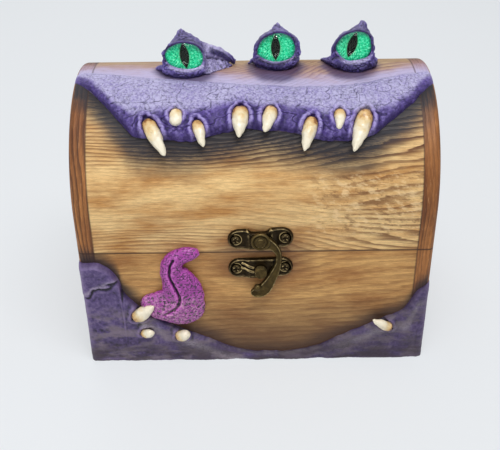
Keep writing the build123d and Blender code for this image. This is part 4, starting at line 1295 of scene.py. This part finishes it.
def plate(name, z, tilt, dip, ribs, material):
    """Latch plate: rolled rim, sunk face, dished screw seats and pressed-up middle."""
    u = -PLATE_HALF * np.cos(np.linspace(0.0, math.pi, 190))[:, None]
    beyond = np.maximum(np.abs(u) - (PLATE_HALF - PLATE_ROUND), 0.0)
    half = np.sqrt(np.maximum(PLATE_ROUND**2 - beyond**2, 1e-4))
    upper_half = half - dip * smoothstep(-5.6, -3.2, u) * smoothstep(4.6, 2.4, u)
    s = np.sin(np.linspace(-math.pi / 2, math.pi / 2, 70))
    w = np.where(s < 0, s * half, s * upper_half)
    inset = np.minimum(PLATE_ROUND - np.hypot(beyond, w), upper_half - w)
    u = np.broadcast_to(u, w.shape)
    block = smoothstep(7.0, 4.6, np.abs(u))
    height = 1.0 + block + 0.45 * bell(inset, 0.6, 0.36) * (1 - 0.5 * block)
    height -= 0.3 * smoothstep(0.9, 1.5, inset) * (1 - block)
    height -= 0.3 * smoothstep(1.0, 1.6, inset) * block
    seat = np.hypot(np.abs(u) - PLATE_SCREW, w)
    height += 0.25 * bell(seat, 2.6, 0.35) - 0.25 * smoothstep(2.3, 1.8, seat)
    for start, end in ribs:
        height += 0.75 * smoothstep(0.8, 0.3, near_line(u, w, start, end))
    height += 0.05 * on_sheet(fractal, u, w, 1.6, 700, 2)
    height = np.clip(height, 0.3, 2.1) * (0.35 + 0.65 * rounded(inset / 0.5))
    x = HOOK_EYE[0] + u * math.cos(tilt) - w * math.sin(tilt)
    z = z + u * math.sin(tilt) + w * math.cos(tilt)
    top, bottom = (np.stack([x, -ARCH - off, z], -1) for off in (height, 0.0 * height - 0.02))
    obj = new_object(name, slab(top, bottom), material)
    paint(obj, hollow=hollow_depth(obj, 10, 0.3))
    return obj


def hook(material):
    """Swing hook: grooved eye, channelled arm and a rolled thumb tab with a ball."""
    table = dense_line(HOOK_ARM, 150)
    centre, half = table[:, None, :2], table[:, 2:]
    step = np.gradient(table[:, :2], axis=0)
    step /= np.linalg.norm(step, axis=1)[:, None]
    side = np.stack([-step[:, 1], step[:, 0]], -1)[:, None]
    s = np.sin(np.linspace(-math.pi / 2, math.pi / 2, 34))
    x, z = np.moveaxis(centre + (half * s)[..., None] * side, -1, 0)
    inset = half * (1 - np.abs(s))
    run = np.linspace(0, 1, len(table))[:, None]
    height = 3.65 + 0.52 * bell(inset, 0.5, 0.36)
    height = height + 0.35 * (s > 0) * smoothstep(0.62, 0.8, run) * smoothstep(1.3, 0.5, inset)
    height = height - 0.7 * (1 - np.clip(inset / 0.35, 0, 1)) ** 2
    arm = slab(*(np.stack([x, -ARCH - off, z], -1) for off in (height, 2.3 + 0.0 * height)))
    turn = np.linspace(0, 2 * math.pi, 56, endpoint=False)
    rings = [
        np.stack([HOOK_EYE[0] + r * np.cos(turn), 0 * turn - ARCH - h, HOOK_EYE[1] + r * np.sin(turn)], -1)
        for r, h in HOOK_SECTION
    ]
    eye = np.concatenate(rings), band_faces(len(rings), len(turn))
    ball = blob((0.6, -ARCH - 4.2, 42.4), (1.6, 1.6, 1.6))
    obj = knead("latch_hook_worn", [arm, eye, ball], 0.17, 3, material)
    paint(obj, hollow=hollow_depth(obj, 8, 0.3))
    return obj


# ---- dress the frame ---------------------------------------------------------------------

WOOD_OF = {
    "base_left_end": "end",
    "base_right_end": "end",
    "lid_left_end": "end",
    "lid_right_end": "end",
    "base_front_board": "base",
    "base_rear_board": "base",
    "base_floor_panel": "bare",
    "lid_front_rail": "bare",
    "lid_rear_rail": "bare",
    "lid_arched_skin": "lid",
}


def dress(piece, body, node):
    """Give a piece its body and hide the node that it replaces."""
    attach(piece, body)
    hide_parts(node)


def recolour(obj, material):
    """Put one material in all of an object's slots."""
    for material_slot in obj.material_slots:
        material_slot.material = material


wood = {grain: wood_material(f"{grain}_wood", grain, True) for grain in WOODS}
wood["bare"] = wood_material("bare_wood", "base", False)
clay = clay_material(
    "purple_clay", srgb(30, 14, 70), srgb(82, 58, 144), srgb(150, 136, 196), srgb(186, 181, 213), 1.0
)
jaw_clay = clay_material(
    "jaw_clay", srgb(20, 12, 30), srgb(74, 57, 104), srgb(118, 100, 142), srgb(176, 166, 172), 0.0, True
)
eye_clay = clay_material(
    "eye_clay", srgb(18, 10, 48), srgb(60, 45, 116), srgb(128, 114, 182), srgb(190, 182, 220), 0.6
)
olive = srgb(52, 41, 22), srgb(92, 76, 42), srgb(176, 156, 108)
umber = srgb(28, 21, 11), srgb(54, 42, 24), srgb(176, 154, 108)
bronze = bronze_material("aged_bronze", False, *olive)
hook_bronze = bronze_material("hook_bronze", True, *olive)
plate_bronze = bronze_material("plate_bronze", True, *umber)
dark_screw = bronze_material("screw_bronze", False, *umber)
glass = lens_material()

for node_name, node in nodes.items():
    if node_name in WOOD_OF:
        recolour(node, wood[WOOD_OF[node_name]])
    elif node_name.startswith(("latch", "hinge")):
        recolour(node, dark_screw if node_name.endswith("screws") else bronze)

upper_plate = plate("latch_upper_plate_worn", 65.2, math.radians(2.6), 1.5, (), plate_bronze)
lower_plate = plate("latch_lower_plate_worn", 50.5, math.radians(1.6), 0.0, RIBS, plate_bronze)
dress(upper_plate, "lid", "latch_upper_plate")
dress(lower_plate, "base", "latch_lower_plate")
dress(hook(hook_bronze), "hook", "latch_hook")
dress(upper_lip(clay), "lid", "upper_lip")
dress(lower_lip(jaw_clay), "base", "lower_lip")
build_teeth(tooth_material())
dress(tongue(tongue_material()), "base", "tongue")
for eye_name, eye_centre, peak_x, pupil_lean in EYES:
    iris_look = iris_material(f"iris_{eye_name}", eye_centre, math.radians(pupil_lean))
    socket = eye_socket(eye_name, eye_centre, peak_x, eye_clay)
    dress(socket, "lid", f"eye_{eye_name}_socket")
    dress(iris_disc(eye_name, eye_centre, iris_look), "lid", f"eye_{eye_name}_iris")
    dress(lens(eye_name, eye_centre, glass), "lid", f"eye_{eye_name}_lens")


# ---- stage, light and camera -------------------------------------------------------------

BACKDROP = srgb(231, 234, 237)

# Half width and height of the floor, in metres.
FLOOR_HALF = 3.0
FLOOR_Z = -0.0002

# Lamps: name, place, target and size in metres, power in watts.
LAMPS = (
    ("key", (0.12, -0.36, 0.92), (0, 0, 0.07), (0.6, 0.4), 5.2),
    ("fill", (-0.55, -0.7, 0.35), (0, 0, 0.07), (0.5, 0.5), 1.5),
    ("back", (-0.2, 0.6, 0.6), (0, 0, 0.1), (0.6, 0.3), 1.2),
    ("glint", (0.02, -0.34, 0.88), (0, 0, 0.13), (0.2, 0.012), 0.7),
)

# Camera: how far it looks down and leans, its distance from the aim in metres.
ELEVATION = math.radians(32.85)
ROLL = math.radians(-0.75)
DISTANCE = 0.4049
AIM = Vector((-0.00227, 0.0, 0.04169))


def seen_rays(g):
    """1 for the rays that show the backdrop: from the camera, off metal and through glass."""
    return g.most(g.most(g.ray("Camera"), g.ray("Glossy")), g.ray("Transmission"))


def backdrop_material():
    """Pale card: partly its own colour for the rays that show it, plainly lit for the others."""
    g = Graph("pale_card")
    lit = g.node("ShaderNodeBsdfDiffuse", (BACKDROP,))
    own = g.node("ShaderNodeEmission", (BACKDROP,))
    return g.close(g.node("ShaderNodeMixShader", (seen_rays(g) * 0.62, lit, own)))


def studio_world():
    """Backdrop colour at full strength for the rays that show it, at half for the others."""
    g = Graph("studio", "worlds")
    sky = g.node("ShaderNodeBackground", (BACKDROP, seen_rays(g) * 0.5 + 0.5))
    return g.close(sky, "ShaderNodeOutputWorld")


floor_mesh = bpy.data.meshes.new("floor")
corners = ((-1, -1), (1, -1), (1, 1), (-1, 1))
floor_points = [(a * FLOOR_HALF, b * FLOOR_HALF, FLOOR_Z) for a, b in corners]
floor_mesh.from_pydata(floor_points, [], [(0, 1, 2, 3)])
add_object("floor", floor_mesh, backdrop_material())

scene = bpy.context.scene
scene.world = studio_world()

for lamp_name, lamp_place, target, size, power in LAMPS:
    lamp_data = bpy.data.lights.new(lamp_name, "AREA")
    lamp_data.shape = "RECTANGLE"
    lamp_data.size, lamp_data.size_y = size
    lamp_data.energy = power
    lamp = bpy.data.objects.new(lamp_name, lamp_data)
    scene.collection.objects.link(lamp)
    lamp.location = lamp_place
    aim = Vector(target) - Vector(lamp_place)
    lamp.rotation_euler = aim.to_track_quat("-Z", "Y").to_euler()

camera_data = bpy.data.cameras.new("camera")
camera_data.lens = 61.25
camera_data.sensor_width = 36.0
camera_data.clip_start = 0.01
camera = bpy.data.objects.new("camera", camera_data)
scene.collection.objects.link(camera)
camera.location = AIM - DISTANCE * Vector((0, math.cos(ELEVATION), -math.sin(ELEVATION)))
tilt = Matrix.Rotation(math.pi / 2 - ELEVATION, 3, "X")
camera.rotation_euler = (tilt @ Matrix.Rotation(ROLL, 3, "Z")).to_euler()
scene.camera = camera
scene.view_settings.view_transform = "Standard"
